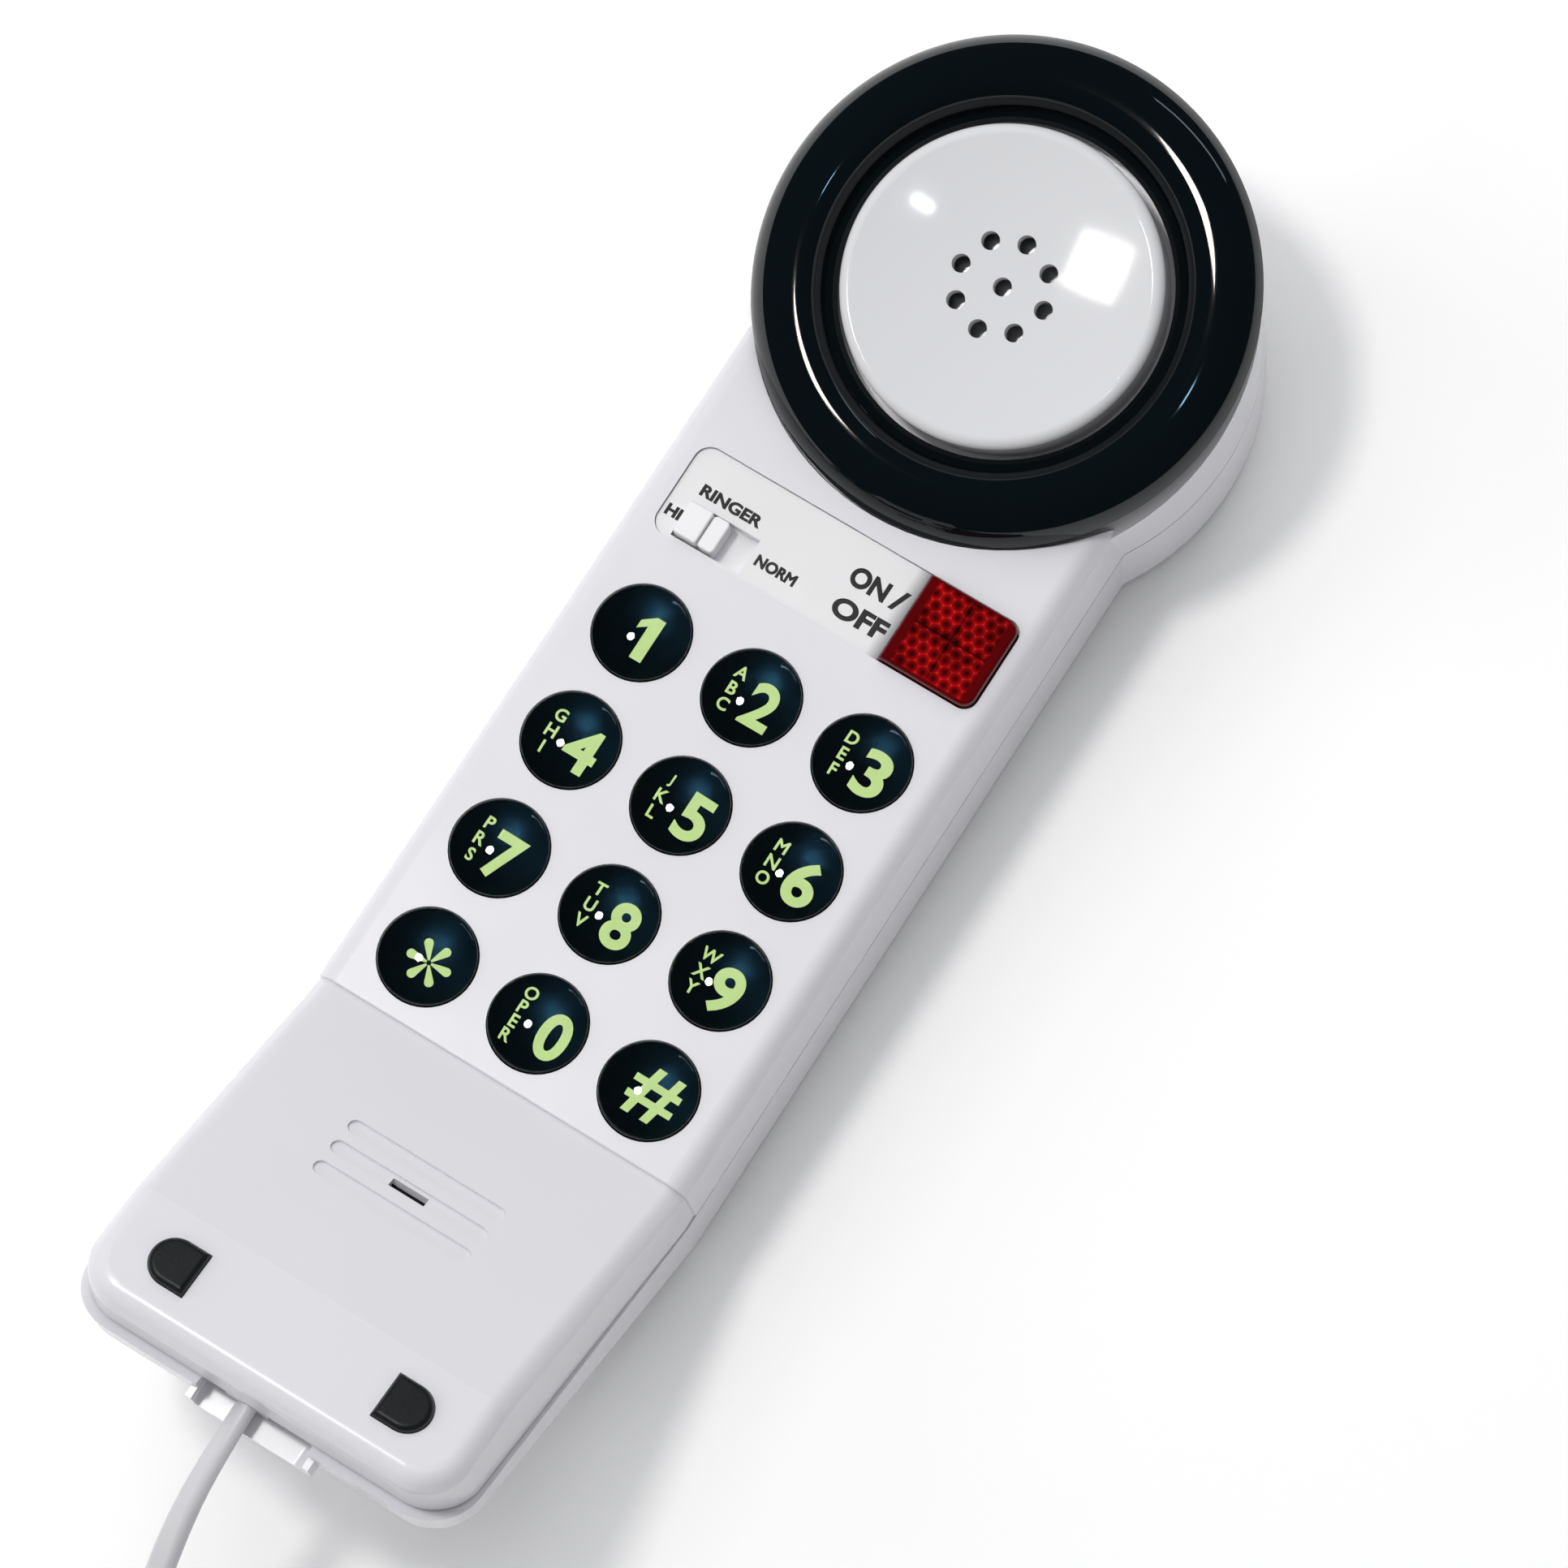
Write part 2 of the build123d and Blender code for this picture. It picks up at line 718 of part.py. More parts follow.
# ---- the control panel ----
with BuildPart() as control_label_plate:
    plate_left = panel_left + panel_gap
    plate_right = panel_split - panel_gap
    with BuildSketch(Plane.XY.offset(face_z - panel_depth)):
        with Locations(((plate_left + plate_right) / 2, panel_middle)):
            RectangleRounded(
                plate_right - plate_left, panel_high - panel_low - 2 * panel_gap, panel_corner - panel_gap
            )
        with Locations((plate_right - panel_corner / 2, panel_middle)):
            Rectangle(panel_corner, panel_high - panel_low - 2 * panel_gap)
        with Locations(((slot_left + slot_right) / 2, slot_middle)):
            Rectangle(slot_right - slot_left, slot_high - slot_low, mode=Mode.SUBTRACT)
    extrude(amount=plate_thickness)
finish(control_label_plate, "control_label_plate")

knob_left = slot_left + knob_gap
knob_low = slot_low + knob_gap
knob_high = slot_high - knob_gap
tongue_middle = knob_left + 0.3 + knob_tongue / 2
knob_base = face_z - 2.5
with BuildPart() as ringer_switch_body:
    add(
        block(
            (slot_left - 0.9, slot_low - 1, board_top),
            (slot_right + 0.9, slot_high + 0.9, knob_base - 0.1),
        )
    )
    with BuildSketch(Plane.XY.offset(knob_base - 2.6)):
        with Locations((tongue_middle + ringer_travel / 2, slot_middle)):
            Rectangle(ringer_travel + knob_tongue + 0.8, 1.6)
    extrude(amount=5, mode=Mode.SUBTRACT)
finish(ringer_switch_body, "ringer_switch_body")

with BuildPart() as knob_lower_half:
    add(
        block(
            (knob_left + knob_split + 0.2, knob_low, knob_base),
            (knob_left + knob_length, knob_high, face_z + 0.8),
            0.7,
        )
    )
    fillet(knob_lower_half.faces().sort_by(Axis.Z)[-1].edges(), 0.3)

with BuildPart() as ringer_switch_knob:
    add(block((knob_left, knob_low, knob_base), (knob_left + knob_split, knob_high, face_z + 1.2), 0.4))
    fillet(ringer_switch_knob.faces().sort_by(Axis.Z)[-1].edges(), 0.3)
    add(knob_lower_half.part)
    add(
        block(
            (knob_left + 1, knob_low + 0.2, knob_base),
            (knob_left + knob_length - 1, knob_high - 0.2, face_z),
        )
    )
    add(
        block(
            (tongue_middle - knob_tongue / 2, slot_middle - 0.4, knob_base - 2.2),
            (tongue_middle + knob_tongue / 2, slot_middle + 0.4, knob_base),
        )
    )
finish(ringer_switch_knob, "ringer_switch_knob")

button_left = panel_split + button_gap
button_right = panel_right - button_gap
button_low = panel_low + button_gap
button_high = panel_high - button_gap
button_bottom = face_z - 3.3
button_middle = (button_left + button_right) / 2
with BuildPart() as on_off_button:
    with BuildSketch(Plane.XY.offset(button_bottom)):
        with Locations((button_middle, panel_middle)):
            add(button_outline(button_gap))
    extrude(amount=face_z + 1.5 - button_bottom)
    fillet(on_off_button.faces().sort_by(Axis.Z)[-1].edges(), 0.8)
    add(
        block(
            (button_left, button_low - button_flange, button_bottom),
            (button_right, button_high + button_flange, button_bottom + 0.8),
        )
    )
    with BuildSketch(Plane.XY.offset(button_bottom - 0.7)):
        with Locations((button_middle, panel_middle)):
            Circle(2.0)
    extrude(amount=1.0)
finish(on_off_button, "on_off_button")

with BuildPart() as on_off_switch:
    add(
        block(
            (button_middle - 4, panel_middle - 4, board_top),
            (button_middle + 4, panel_middle + 4, board_top + 1.8),
            0.5,
        )
    )
finish(on_off_switch, "on_off_switch")

with BuildPart() as indicator_lamp:
    with BuildSketch(Plane.XY.offset(board_top)):
        with Locations((26.2, keypad_y + 36.0)):
            Circle(1.5)
    extrude(amount=2.4)
    fillet(indicator_lamp.edges().sort_by(Axis.Z)[-1], 1.0)
finish(indicator_lamp, "indicator_lamp")

# ---- the sounder and the microphone ----
with BuildPart() as sounder:
    with BuildSketch(Plane.XY.offset(rear_floor)):
        with Locations((0, head_y)):
            Circle(14.0)
    extrude(amount=5.0)
    fillet(sounder.edges().sort_by(Axis.Z)[-1], 0.8)
    with BuildSketch(Plane.XY.offset(rear_floor + 5.0)):
        with Locations((0, head_y)):
            Circle(3.0)
            Circle(1.2, mode=Mode.SUBTRACT)
    extrude(amount=1.0)
finish(sounder, "sounder")

with BuildPart() as microphone_boot:
    with BuildSketch(mouth_plane.offset(-mouth_wall - 6.6)):
        Circle(6.0)
    extrude(amount=6.6)
    with BuildSketch(mouth_plane.offset(-mouth_wall - 5.4)):
        Circle(microphone_radius + 0.05)
    extrude(amount=5.4, mode=Mode.SUBTRACT)
finish(microphone_boot, "microphone_boot")

with BuildPart() as microphone_capsule:
    with BuildSketch(mouth_plane.offset(-mouth_wall - 5.4)):
        Circle(microphone_radius)
    extrude(amount=5.0)
    fillet(microphone_capsule.edges().filter_by(GeomType.CIRCLE), 0.3)
finish(microphone_capsule, "microphone_capsule")

# ---- the two rest pads on the chin ----
pad_axis = Axis(pad_plane.origin, pad_plane.z_dir)
for side, side_name in ((-1, "left"), (1, "right")):
    with BuildPart() as rest_pad:
        with BuildSketch(pad_plane.offset(-pad_recess)):
            add(pad_outline(side, 0))
        extrude(amount=pad_recess + pad_crown)
        fillet(rest_pad.faces().sort_by(pad_axis)[-1].edges(), pad_crown - 0.2)
    finish(rest_pad, f"rest_pad_{side_name}")

# ---- the strain relief in the cord's slot ----
with BuildPart() as cord_strain_relief:
    add(
        block(
            (cord_x - 3.5, cord_start_y, cord_z - 1.7),
            (cord_x + 3.5, cord_start_y + 12, cord_z + 1.7),
        )
    )
    add(
        block(
            (cord_x - 5.5, rear_inner_y + 0.2, cord_z - 3.2),
            (cord_x + 5.5, rear_inner_y + 2.0, cord_z + 2.6),
        )
    )
    fillet(cord_strain_relief.edges().filter_by(Axis.Y), 0.5)
finish(cord_strain_relief, "cord_strain_relief")

# ---- the screws ----
for index, place in enumerate(head_posts + mouth_posts, 1):
    with BuildPart() as housing_screw:
        with BuildSketch(Plane.XY.offset(screw_floor - 2)):
            with Locations(place):
                Circle(screw_head_radius)
        extrude(amount=2)
        with BuildSketch(Plane.XY.offset(screw_floor)):
            with Locations(place):
                Circle(pilot_radius - 0.05)
        extrude(amount=screw_tip - screw_floor)
        with BuildSketch(Plane.XY.offset(screw_floor - 2)):
            with Locations(place):
                Rectangle(3.4, 0.8)
                Rectangle(0.8, 3.4)
        extrude(amount=1.2, mode=Mode.SUBTRACT)
    finish(housing_screw, f"housing_screw_{index}")

for index, place in enumerate(board_posts, 1):
    with BuildPart() as board_screw:
        with BuildSketch(Plane.XY.offset(board_bottom - 1.2)):
            with Locations(place):
                Circle(1.9)
        extrude(amount=1.2)
        with BuildSketch(Plane.XY.offset(board_bottom)):
            with Locations(place):
                Circle(board_screw_radius)
        extrude(amount=board_thickness + board_screw_depth)
        with BuildSketch(Plane.XY.offset(board_bottom - 1.2)):
            with Locations(place):
                Rectangle(2.4, 0.5)
                Rectangle(0.5, 2.4)
        extrude(amount=0.7, mode=Mode.SUBTRACT)
    finish(board_screw, f"board_screw_{index}")

# ---- the line cord: out of its slot, down to the surface, into a neat coil with its plug on top ----
cord_route = [
    (cord_x, cord_start_y, cord_z),
    (cord_x, -126.0, cord_z),
    (-2.6, -137.5, 30.5),
    (-2.7, -147.0, 17.5),
    (-2.5, -156.0, 8.5),
    (-2.3, -165.5, 5.0),
]


def route_radii(route):
    """A radius for each corner of a route, as large as the two runs beside it allow."""
    radii = []
    for before, corner, after in zip(route, route[1:], route[2:]):
        arriving = Vector(*corner) - Vector(*before)
        leaving = Vector(*after) - Vector(*corner)
        half_turn = radians(arriving.get_angle(leaving) / 2)
        radii.append(0.45 * min(arriving.length, leaving.length) / tan(half_turn))
    return radii


cord_radii = route_radii(cord_route)
with BuildPart() as line_cord:
    with BuildLine() as cord_path:
        FilletPolyline(*cord_route, radius=cord_radii)
    with BuildSketch(Plane(origin=cord_route[0], z_dir=cord_path.line % 0)):
        Circle(cord_radius)
    sweep()
finish(line_cord, "line_cord")
print("cord radii:", [round(radius, 1) for radius in cord_radii])
print("tube volume:", round(line_cord.part.volume, 1))
print("section times length:", round(pi * cord_radius**2 * cord_path.wires()[0].length, 1))

with BuildPart() as line_cord_coil:
    with BuildSketch(Plane.XY):
        with Locations((coil_x, coil_y)):
            Circle(coil_radius)
            Circle(coil_bore, mode=Mode.SUBTRACT)
    extrude(amount=coil_height)
    fillet(line_cord_coil.edges().filter_by(GeomType.CIRCLE), 1.2)
finish(line_cord_coil, "line_cord_coil")

with BuildPart() as cord_tie:
    add(
        block(
            (coil_x + coil_bore - tie_thickness, coil_y - tie_width / 2, 0),
            (coil_x + coil_radius + tie_thickness, coil_y + tie_width / 2, coil_height + tie_thickness),
        )
    )
    add(
        block(
            (coil_x + coil_bore + 0.3, coil_y - tie_width / 2, tie_thickness),
            (coil_x + coil_radius - 0.3, coil_y + tie_width / 2, coil_height - 0.1),
        ),
        mode=Mode.SUBTRACT,
    )
finish(cord_tie, "cord_tie")

# ---- the modular plug, lying on the coil with its latch upwards ----
plug_y = coil_y - coil_middle
plug_left = coil_x - 4.0
with BuildPart() as modular_plug:
    add(
        block(
            (plug_left, plug_y - plug_width / 2, coil_height),
            (plug_left + plug_length, plug_y + plug_width / 2, coil_height + plug_height),
        )
    )
    # the flat funnel that the cord enters
    add(
        block(
            (plug_left - 0.01, plug_y - 2.6, coil_height + 0.9),
            (plug_left + 5.0, plug_y + 2.6, coil_height + 4.1),
        ),
        mode=Mode.SUBTRACT,
    )
    # the slots of the four contacts, along the nose
    with BuildSketch(Plane.XY.offset(coil_height + plug_height - contact_slot_depth)):
        with Locations((plug_left + plug_length - 1.9, plug_y)):
            with GridLocations(0, contact_pitch, 1, 4):
                Rectangle(4.0, 0.5)
    extrude(amount=5, mode=Mode.SUBTRACT)
    # the latch: a sprung tongue that leans back from the nose
    with BuildSketch(Plane.XZ.offset(-plug_y - plug_latch_width / 2)):
        with BuildLine():
            Polyline(
                (plug_left + plug_length - 4.4, coil_height + plug_height - 0.4),
                (plug_left + plug_length - 4.4, coil_height + plug_height + 0.9),
                (plug_left - 2.5, coil_height + plug_height + 2.9),
                (plug_left - 2.5, coil_height + plug_height + 2.0),
                (plug_left + plug_length - 6.4, coil_height + plug_height - 0.4),
                close=True,
            )
        make_face()
    extrude(amount=plug_latch_width)
finish(modular_plug, "modular_plug")

with BuildPart() as plug_contacts:
    with BuildSketch(Plane.XY.offset(coil_height + plug_height - contact_slot_depth)):
        with Locations((plug_left + plug_length - 1.9, plug_y)):
            with GridLocations(0, contact_pitch, 1, 4):
                Rectangle(3.4, 0.4)
    extrude(amount=contact_slot_depth - 0.5)
finish(plug_contacts, "plug_contacts")
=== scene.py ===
import math

import bmesh
import bpy
from mathutils import Matrix, Vector


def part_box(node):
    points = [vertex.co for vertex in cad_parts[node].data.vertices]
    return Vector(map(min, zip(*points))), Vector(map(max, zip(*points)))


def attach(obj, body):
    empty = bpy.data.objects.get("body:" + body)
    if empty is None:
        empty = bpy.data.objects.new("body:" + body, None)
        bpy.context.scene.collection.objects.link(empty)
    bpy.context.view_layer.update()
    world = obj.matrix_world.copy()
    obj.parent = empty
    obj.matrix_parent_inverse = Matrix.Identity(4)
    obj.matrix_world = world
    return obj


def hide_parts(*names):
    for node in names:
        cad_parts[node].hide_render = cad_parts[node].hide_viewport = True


# A one-piece slimline telephone lying on its flat back, ear end towards +Y.
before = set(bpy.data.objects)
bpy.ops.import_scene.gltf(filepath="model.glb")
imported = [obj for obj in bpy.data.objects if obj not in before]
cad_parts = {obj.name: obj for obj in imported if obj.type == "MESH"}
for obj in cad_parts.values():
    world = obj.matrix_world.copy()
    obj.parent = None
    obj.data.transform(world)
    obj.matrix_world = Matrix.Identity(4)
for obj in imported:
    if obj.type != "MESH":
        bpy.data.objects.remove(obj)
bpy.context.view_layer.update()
MM = 0.001

KEY_NAMES = ["1", "2", "3", "4", "5", "6", "7", "8", "9", "star", "0", "hash"]
KEY_LETTERS = {
    "2": "ABC", "3": "DEF", "4": "GHI", "5": "JKL", "6": "MNO",
    "7": "PRS", "8": "TUV", "9": "WXY", "0": "OPER",
}


# ---------------------------------------------------------------- helpers
def centre_of(node):
    """The middle of a CAD node's box."""
    low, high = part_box(node)
    return (Vector(low) + Vector(high)) / 2


def node_object(node):
    """The Blender object of a CAD node."""
    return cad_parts[node]


def new_mesh(name, bm, material, smooth=True):
    """A linked mesh object from a bmesh, with one material."""
    mesh = bpy.data.meshes.new(name)
    bm.to_mesh(mesh)
    bm.free()
    piece = bpy.data.objects.new(name, mesh)
    bpy.context.scene.collection.objects.link(piece)
    mesh.materials.append(material)
    for polygon in mesh.polygons:
        polygon.use_smooth = smooth
    return piece


def paint(node, material):
    """Gives a CAD node one material."""
    mesh = node_object(node).data
    mesh.materials.clear()
    mesh.materials.append(material)


# ---------------------------------------------------------------- camera, floor and light
def look_along(position, target, roll):
    """The matrix of a camera or light that faces a target, its top turned by a roll from +Y."""
    forward = (target - position).normalized()
    right = forward.cross(Vector((0, 1, 0))).normalized()
    up = right.cross(forward)
    up = up * math.cos(roll) + right * math.sin(roll)
    right = forward.cross(up)
    turn = Matrix((right, up, -forward)).transposed()
    return Matrix.Translation(position) @ turn.to_4x4()


CAMERA_PLACE = Vector((0.2470, -0.2151, 1.1020))
CAMERA_TARGET = Vector((0.0110, 0.0030, 0.0280))
CAMERA_ROLL = math.radians(-33.15)
CAMERA_LENS = 178.5
SENSOR_WIDTH = 36
FLOOR_SIZE = 6.0
FLOOR_DROP = 0.4 * MM  # keeps the floor clear of the back it lies under


def make_camera():
    """A long lens above the mouth end, fitted to the photograph's perspective."""
    data = bpy.data.cameras.new("camera")
    data.lens = CAMERA_LENS
    data.sensor_width = SENSOR_WIDTH
    data.clip_start = 0.05
    camera = bpy.data.objects.new("camera", data)
    bpy.context.scene.collection.objects.link(camera)
    camera.matrix_world = look_along(CAMERA_PLACE, CAMERA_TARGET, CAMERA_ROLL)
    bpy.context.scene.camera = camera


def make_floor():
    """The white surface that the telephone lies on."""
    bm = bmesh.new()
    bmesh.ops.create_grid(bm, x_segments=1, y_segments=1, size=FLOOR_SIZE)
    material = bpy.data.materials.new("floor_white")
    material.use_nodes = True
    shader = material.node_tree.nodes["Principled BSDF"]
    shader.inputs["Base Color"].default_value = (0.97, 0.97, 0.97, 1)
    shader.inputs["Roughness"].default_value = 0.9
    shader.inputs["Specular IOR Level"].default_value = 0.1
    floor = new_mesh("floor", bm, material, smooth=False)
    floor.location.z = -FLOOR_DROP


def area_light(
    name, direction, distance, size, power, colour, shape="SQUARE", size_y=None, mirrored=True
):
    """A studio light that faces the handset. One that isn't mirrored shows in no surface."""
    data = bpy.data.lights.new(name, "AREA")
    data.shape = shape
    data.size = size
    if size_y is not None:
        data.size_y = size_y
    data.energy = power
    data.color = colour
    light = bpy.data.objects.new(name, data)
    bpy.context.scene.collection.objects.link(light)
    position = Vector(direction).normalized() * distance
    light.matrix_world = look_along(position, LIGHT_TARGET, 0)
    light.visible_glossy = mirrored
    light.visible_transmission = mirrored
    return light


def light_only(light, nodes, include):
    """Keeps a light to some CAD nodes, or keeps it off them."""
    group = bpy.data.collections.new(light.name + "_link")
    for node in nodes:
        group.objects.link(node_object(node))
    for held in group.collection_objects:
        held.light_linking.link_state = "INCLUDE" if include else "EXCLUDE"
    light.light_linking.receiver_collection = group


LIGHT_TARGET = Vector((0, 0, 0.02))
SKY_COLOUR = (0.75, 0.92, 1.0)
SKY_STRENGTH = 0.03
FILL_COLOUR = (1.0, 0.995, 1.0)
LAMP_WHITE = (1.0, 0.985, 0.97)
WINDOW_WHITE = (1.0, 0.99, 0.97)
WARM_WHITE = (1.0, 0.93, 0.86)
PALE_BLUE = (0.75, 0.88, 1.0)
DEEP_BLUE = (0.35, 0.68, 1.0)
STRIP_BLUE = (0.72, 0.86, 1.0)
# name, direction, distance, size and power of the soft lights that nothing mirrors
FILLS = [
    ("overhead", (-0.22, 0.18, 0.96), 1.85, 2.2, 20.5),
    ("left_side", (-0.85, -0.30, 0.45), 1.8, 1.2, 9.0),
    ("near_fill", (-0.25, -0.85, 0.45), 1.8, 1.2, 6.0),
    ("far_fill", (-0.20, 0.85, 0.50), 1.8, 1.2, 8.5),
    ("right_fill", (0.85, -0.30, 0.50), 1.8, 1.2, 6.0),
]


def make_light():
    """Soft light that glossy black doesn't mirror, and the few small lights that it does."""
    world = bpy.data.worlds.new("studio")
    world.use_nodes = True
    background = world.node_tree.nodes["Background"]
    background.inputs["Color"].default_value = (*SKY_COLOUR, 1)
    background.inputs["Strength"].default_value = SKY_STRENGTH
    bpy.context.scene.world = world
    for name, direction, distance, size, power in FILLS:
        area_light(name, direction, distance, size, power, FILL_COLOUR, mirrored=False)
    lamp = area_light("lamp", (-0.304, -0.034, 0.952), 1.6, 0.26, 7.5, LAMP_WHITE, "DISK")
    light_only(lamp, ["earpiece_cap", "ear_cushion"], False)
    window = area_light("window", (-0.36, -0.21, 0.90), 1.8, 0.21, 2.6, WINDOW_WHITE)
    light_only(window, ["earpiece_cap"], True)
    spot = area_light(
        "cool_spot", (0.01, -0.16, 0.985), 1.6, 0.07, 0.35, PALE_BLUE, "RECTANGLE", 0.03
    )
    light_only(spot, ["earpiece_cap"], True)
    warm = area_light("ring_lamp", (-0.094, 0.056, 0.9925), 1.7, 0.2, 5.0, WARM_WHITE)
    light_only(warm, ["ear_cushion"], True)
    cool = area_light("ring_cool", (0.16, -0.10, 0.98), 1.7, 0.08, 0.5, DEEP_BLUE)
    light_only(cool, ["ear_cushion"], True)
    area_light("far_strip", (0.15, 0.9, 0.42), 1.9, 0.9, 1.0, STRIP_BLUE, "RECTANGLE", 0.1)
    bpy.context.scene.view_settings.view_transform = "Standard"


# ---------------------------------------------------------------- materials
PLASTIC_IOR = 1.5
CLEAR_IOR = 1.49


def shader_of(name):
    """A new node material, its tree and its Principled shader."""
    material = bpy.data.materials.new(name)
    material.use_nodes = True
    tree = material.node_tree
    return material, tree, tree.nodes["Principled BSDF"]


def object_position(tree):
    """The place of a point in its object's own frame."""
    return tree.nodes.new("ShaderNodeTexCoord").outputs["Object"]


def noise(tree, position, scale, detail=2.0, roughness=0.5):
    """A noise value between 0 and 1, its scale in waves a metre."""
    node = tree.nodes.new("ShaderNodeTexNoise")
    node.inputs["Scale"].default_value = scale
    node.inputs["Detail"].default_value = detail
    node.inputs["Roughness"].default_value = roughness
    tree.links.new(position, node.inputs["Vector"])
    return node.outputs["Fac"]


def spread_to(tree, value, low, high, start=0.0, stop=1.0):
    """A value between start and stop, moved to between low and high."""
    node = tree.nodes.new("ShaderNodeMapRange")
    node.inputs["From Min"].default_value = start
    node.inputs["From Max"].default_value = stop
    node.inputs["To Min"].default_value = low
    node.inputs["To Max"].default_value = high
    tree.links.new(value, node.inputs["Value"])
    return node.outputs["Result"]


def bump(tree, shader, height, distance, strength=1.0):
    """Roughens a shader's surface by a height value, the distance in metres."""
    node = tree.nodes.new("ShaderNodeBump")
    node.inputs["Distance"].default_value = distance
    node.inputs["Strength"].default_value = strength
    tree.links.new(height, node.inputs["Height"])
    tree.links.new(node.outputs["Normal"], shader.inputs["Normal"])


def between(tree, value, dark, light):
    """A colour between two, by a value."""
    node = tree.nodes.new("ShaderNodeMix")
    node.data_type = "RGBA"
    node.inputs["A"].default_value = (*dark, 1)
    node.inputs["B"].default_value = (*light, 1)
    tree.links.new(value, node.inputs["Factor"])
    return node.outputs["Result"]


def moulded(name, dark, light, rough, grain=0.0, grain_scale=2500.0, coat=0.0, metal=0.0):
    """Moulded plastic, rubber or metal: slow colour drift, uneven gloss and a fine grain."""
    material, tree, shader = shader_of(name)
    position = object_position(tree)
    drift = noise(tree, position, 22.0, 3.0)
    tree.links.new(between(tree, drift, dark, light), shader.inputs["Base Color"])
    smudge = noise(tree, position, 60.0, 4.0, 0.6)
    tree.links.new(spread_to(tree, smudge, *rough, 0.3, 0.7), shader.inputs["Roughness"])
    shader.inputs["IOR"].default_value = PLASTIC_IOR
    shader.inputs["Metallic"].default_value = metal
    shader.inputs["Coat Weight"].default_value = coat
    shader.inputs["Coat Roughness"].default_value = 0.04
    if grain > 0:
        bump(tree, shader, noise(tree, position, grain_scale, 2.0), grain)
    return material


def gloss_white(name, dark, light, rough):
    """Glossy moulded plastic with the faint waviness of a polished mould."""
    material, tree, shader = shader_of(name)
    position = object_position(tree)
    drift = noise(tree, position, 18.0, 2.0)
    tree.links.new(between(tree, drift, dark, light), shader.inputs["Base Color"])
    smudge = noise(tree, position, 45.0, 5.0, 0.62)
    tree.links.new(spread_to(tree, smudge, *rough, 0.3, 0.7), shader.inputs["Roughness"])
    shader.inputs["IOR"].default_value = CLEAR_IOR
    bump(tree, shader, noise(tree, position, 90.0, 2.0), 0.00002, 0.35)
    return material


def clear_plastic(name, tint, rough=0.0):
    """Clear moulded plastic with the faintest ripple of a polished mould."""
    material, tree, shader = shader_of(name)
    shader.inputs["Base Color"].default_value = (*tint, 1)
    shader.inputs["Roughness"].default_value = rough
    shader.inputs["Transmission Weight"].default_value = 1.0
    shader.inputs["IOR"].default_value = CLEAR_IOR
    bump(tree, shader, noise(tree, object_position(tree), 220.0, 1.0), 0.00001, 0.12)
    return material


def glow_print():
    """Pale yellow-green phosphorescent ink, with a faint emission that is a painted glow to keep
    the print bright.
    """
    material, tree, shader = shader_of("glow_print")
    grain = noise(tree, object_position(tree), 900.0, 3.0)
    colour = between(tree, grain, (0.52, 0.72, 0.27), (0.56, 0.76, 0.31))
    tree.links.new(colour, shader.inputs["Base Color"])
    # painted glow: the print's own colour is also given out as light, though it is no lamp
    tree.links.new(colour, shader.inputs["Emission Color"])
    shader.inputs["Emission Strength"].default_value = 0.06
    shader.inputs["Roughness"].default_value = 0.6
    return material


def key_base():
    """Black plastic under a lens, polished, with a blue cast to what it mirrors."""
    material, tree, shader = shader_of("key_black")
    drift = noise(tree, object_position(tree), 300.0, 2.0)
    colour = between(tree, drift, (0.0004, 0.0010, 0.0012), (0.0008, 0.0018, 0.0022))
    tree.links.new(colour, shader.inputs["Base Color"])
    tree.links.new(spread_to(tree, drift, 0.16, 0.24), shader.inputs["Roughness"])
    shader.inputs["IOR"].default_value = PLASTIC_IOR
    shader.inputs["Specular IOR Level"].default_value = 0.1
    shader.inputs["Specular Tint"].default_value = (0.12, 0.5, 0.9, 1)
    return material


def calc(tree, operation, *values):
    """A Math node over sockets and plain numbers."""
    node = tree.nodes.new("ShaderNodeMath")
    node.operation = operation
    for socket, value in zip(node.inputs, values):
        if isinstance(value, (int, float)):
            socket.default_value = value
        else:
            tree.links.new(value, socket)
    return node.outputs["Value"]


def axes(tree):
    """The x, y and z of a point in its object's own frame."""
    split = tree.nodes.new("ShaderNodeSeparateXYZ")
    tree.links.new(object_position(tree), split.inputs["Vector"])
    return split.outputs["X"], split.outputs["Y"], split.outputs["Z"]


def length_of(tree, x, y):
    """The length of a vector on a plane."""
    squares = [calc(tree, "MULTIPLY", value, value) for value in (x, y)]
    return calc(tree, "SQRT", calc(tree, "ADD", *squares))


def hex_distance(tree, x, y, pitch):
    """How far a point is from the nearest point of a triangular lattice."""
    half_x = pitch / 2
    half_y = pitch * math.sqrt(3) / 2
    near_x = calc(tree, "PINGPONG", x, half_x)
    near_y = calc(tree, "PINGPONG", y, half_y)
    other_x = calc(tree, "SUBTRACT", half_x, near_x)
    other_y = calc(tree, "SUBTRACT", half_y, near_y)
    return calc(
        tree, "MINIMUM", length_of(tree, near_x, near_y), length_of(tree, other_x, other_y)
    )


def colour_steps(tree, value, stops):
    """A colour ramp from a value, given (place, colour) stops."""
    node = tree.nodes.new("ShaderNodeValToRGB")
    elements = node.color_ramp.elements
    while len(elements) < len(stops):
        elements.new(1.0)
    for element, (place, colour) in zip(elements, stops):
        element.position = place
        element.color = (*colour, 1)
    tree.links.new(value, node.inputs["Fac"])
    return node.outputs["Color"]


def mixed(tree, share, first, second, blend="MIX"):
    """Two colour sockets blended by a share."""
    node = tree.nodes.new("ShaderNodeMix")
    node.data_type = "RGBA"
    node.blend_type = blend
    tree.links.new(share, node.inputs["Factor"])
    tree.links.new(first, node.inputs["A"])
    tree.links.new(second, node.inputs["B"])
    return node.outputs["Result"]


REFLECTOR_BORDER = 1.7 * MM
REFLECTOR_PITCH = 1.85 * MM
REFLECTOR_CORNER = 0.577 * REFLECTOR_PITCH  # from a cell's middle to its corner


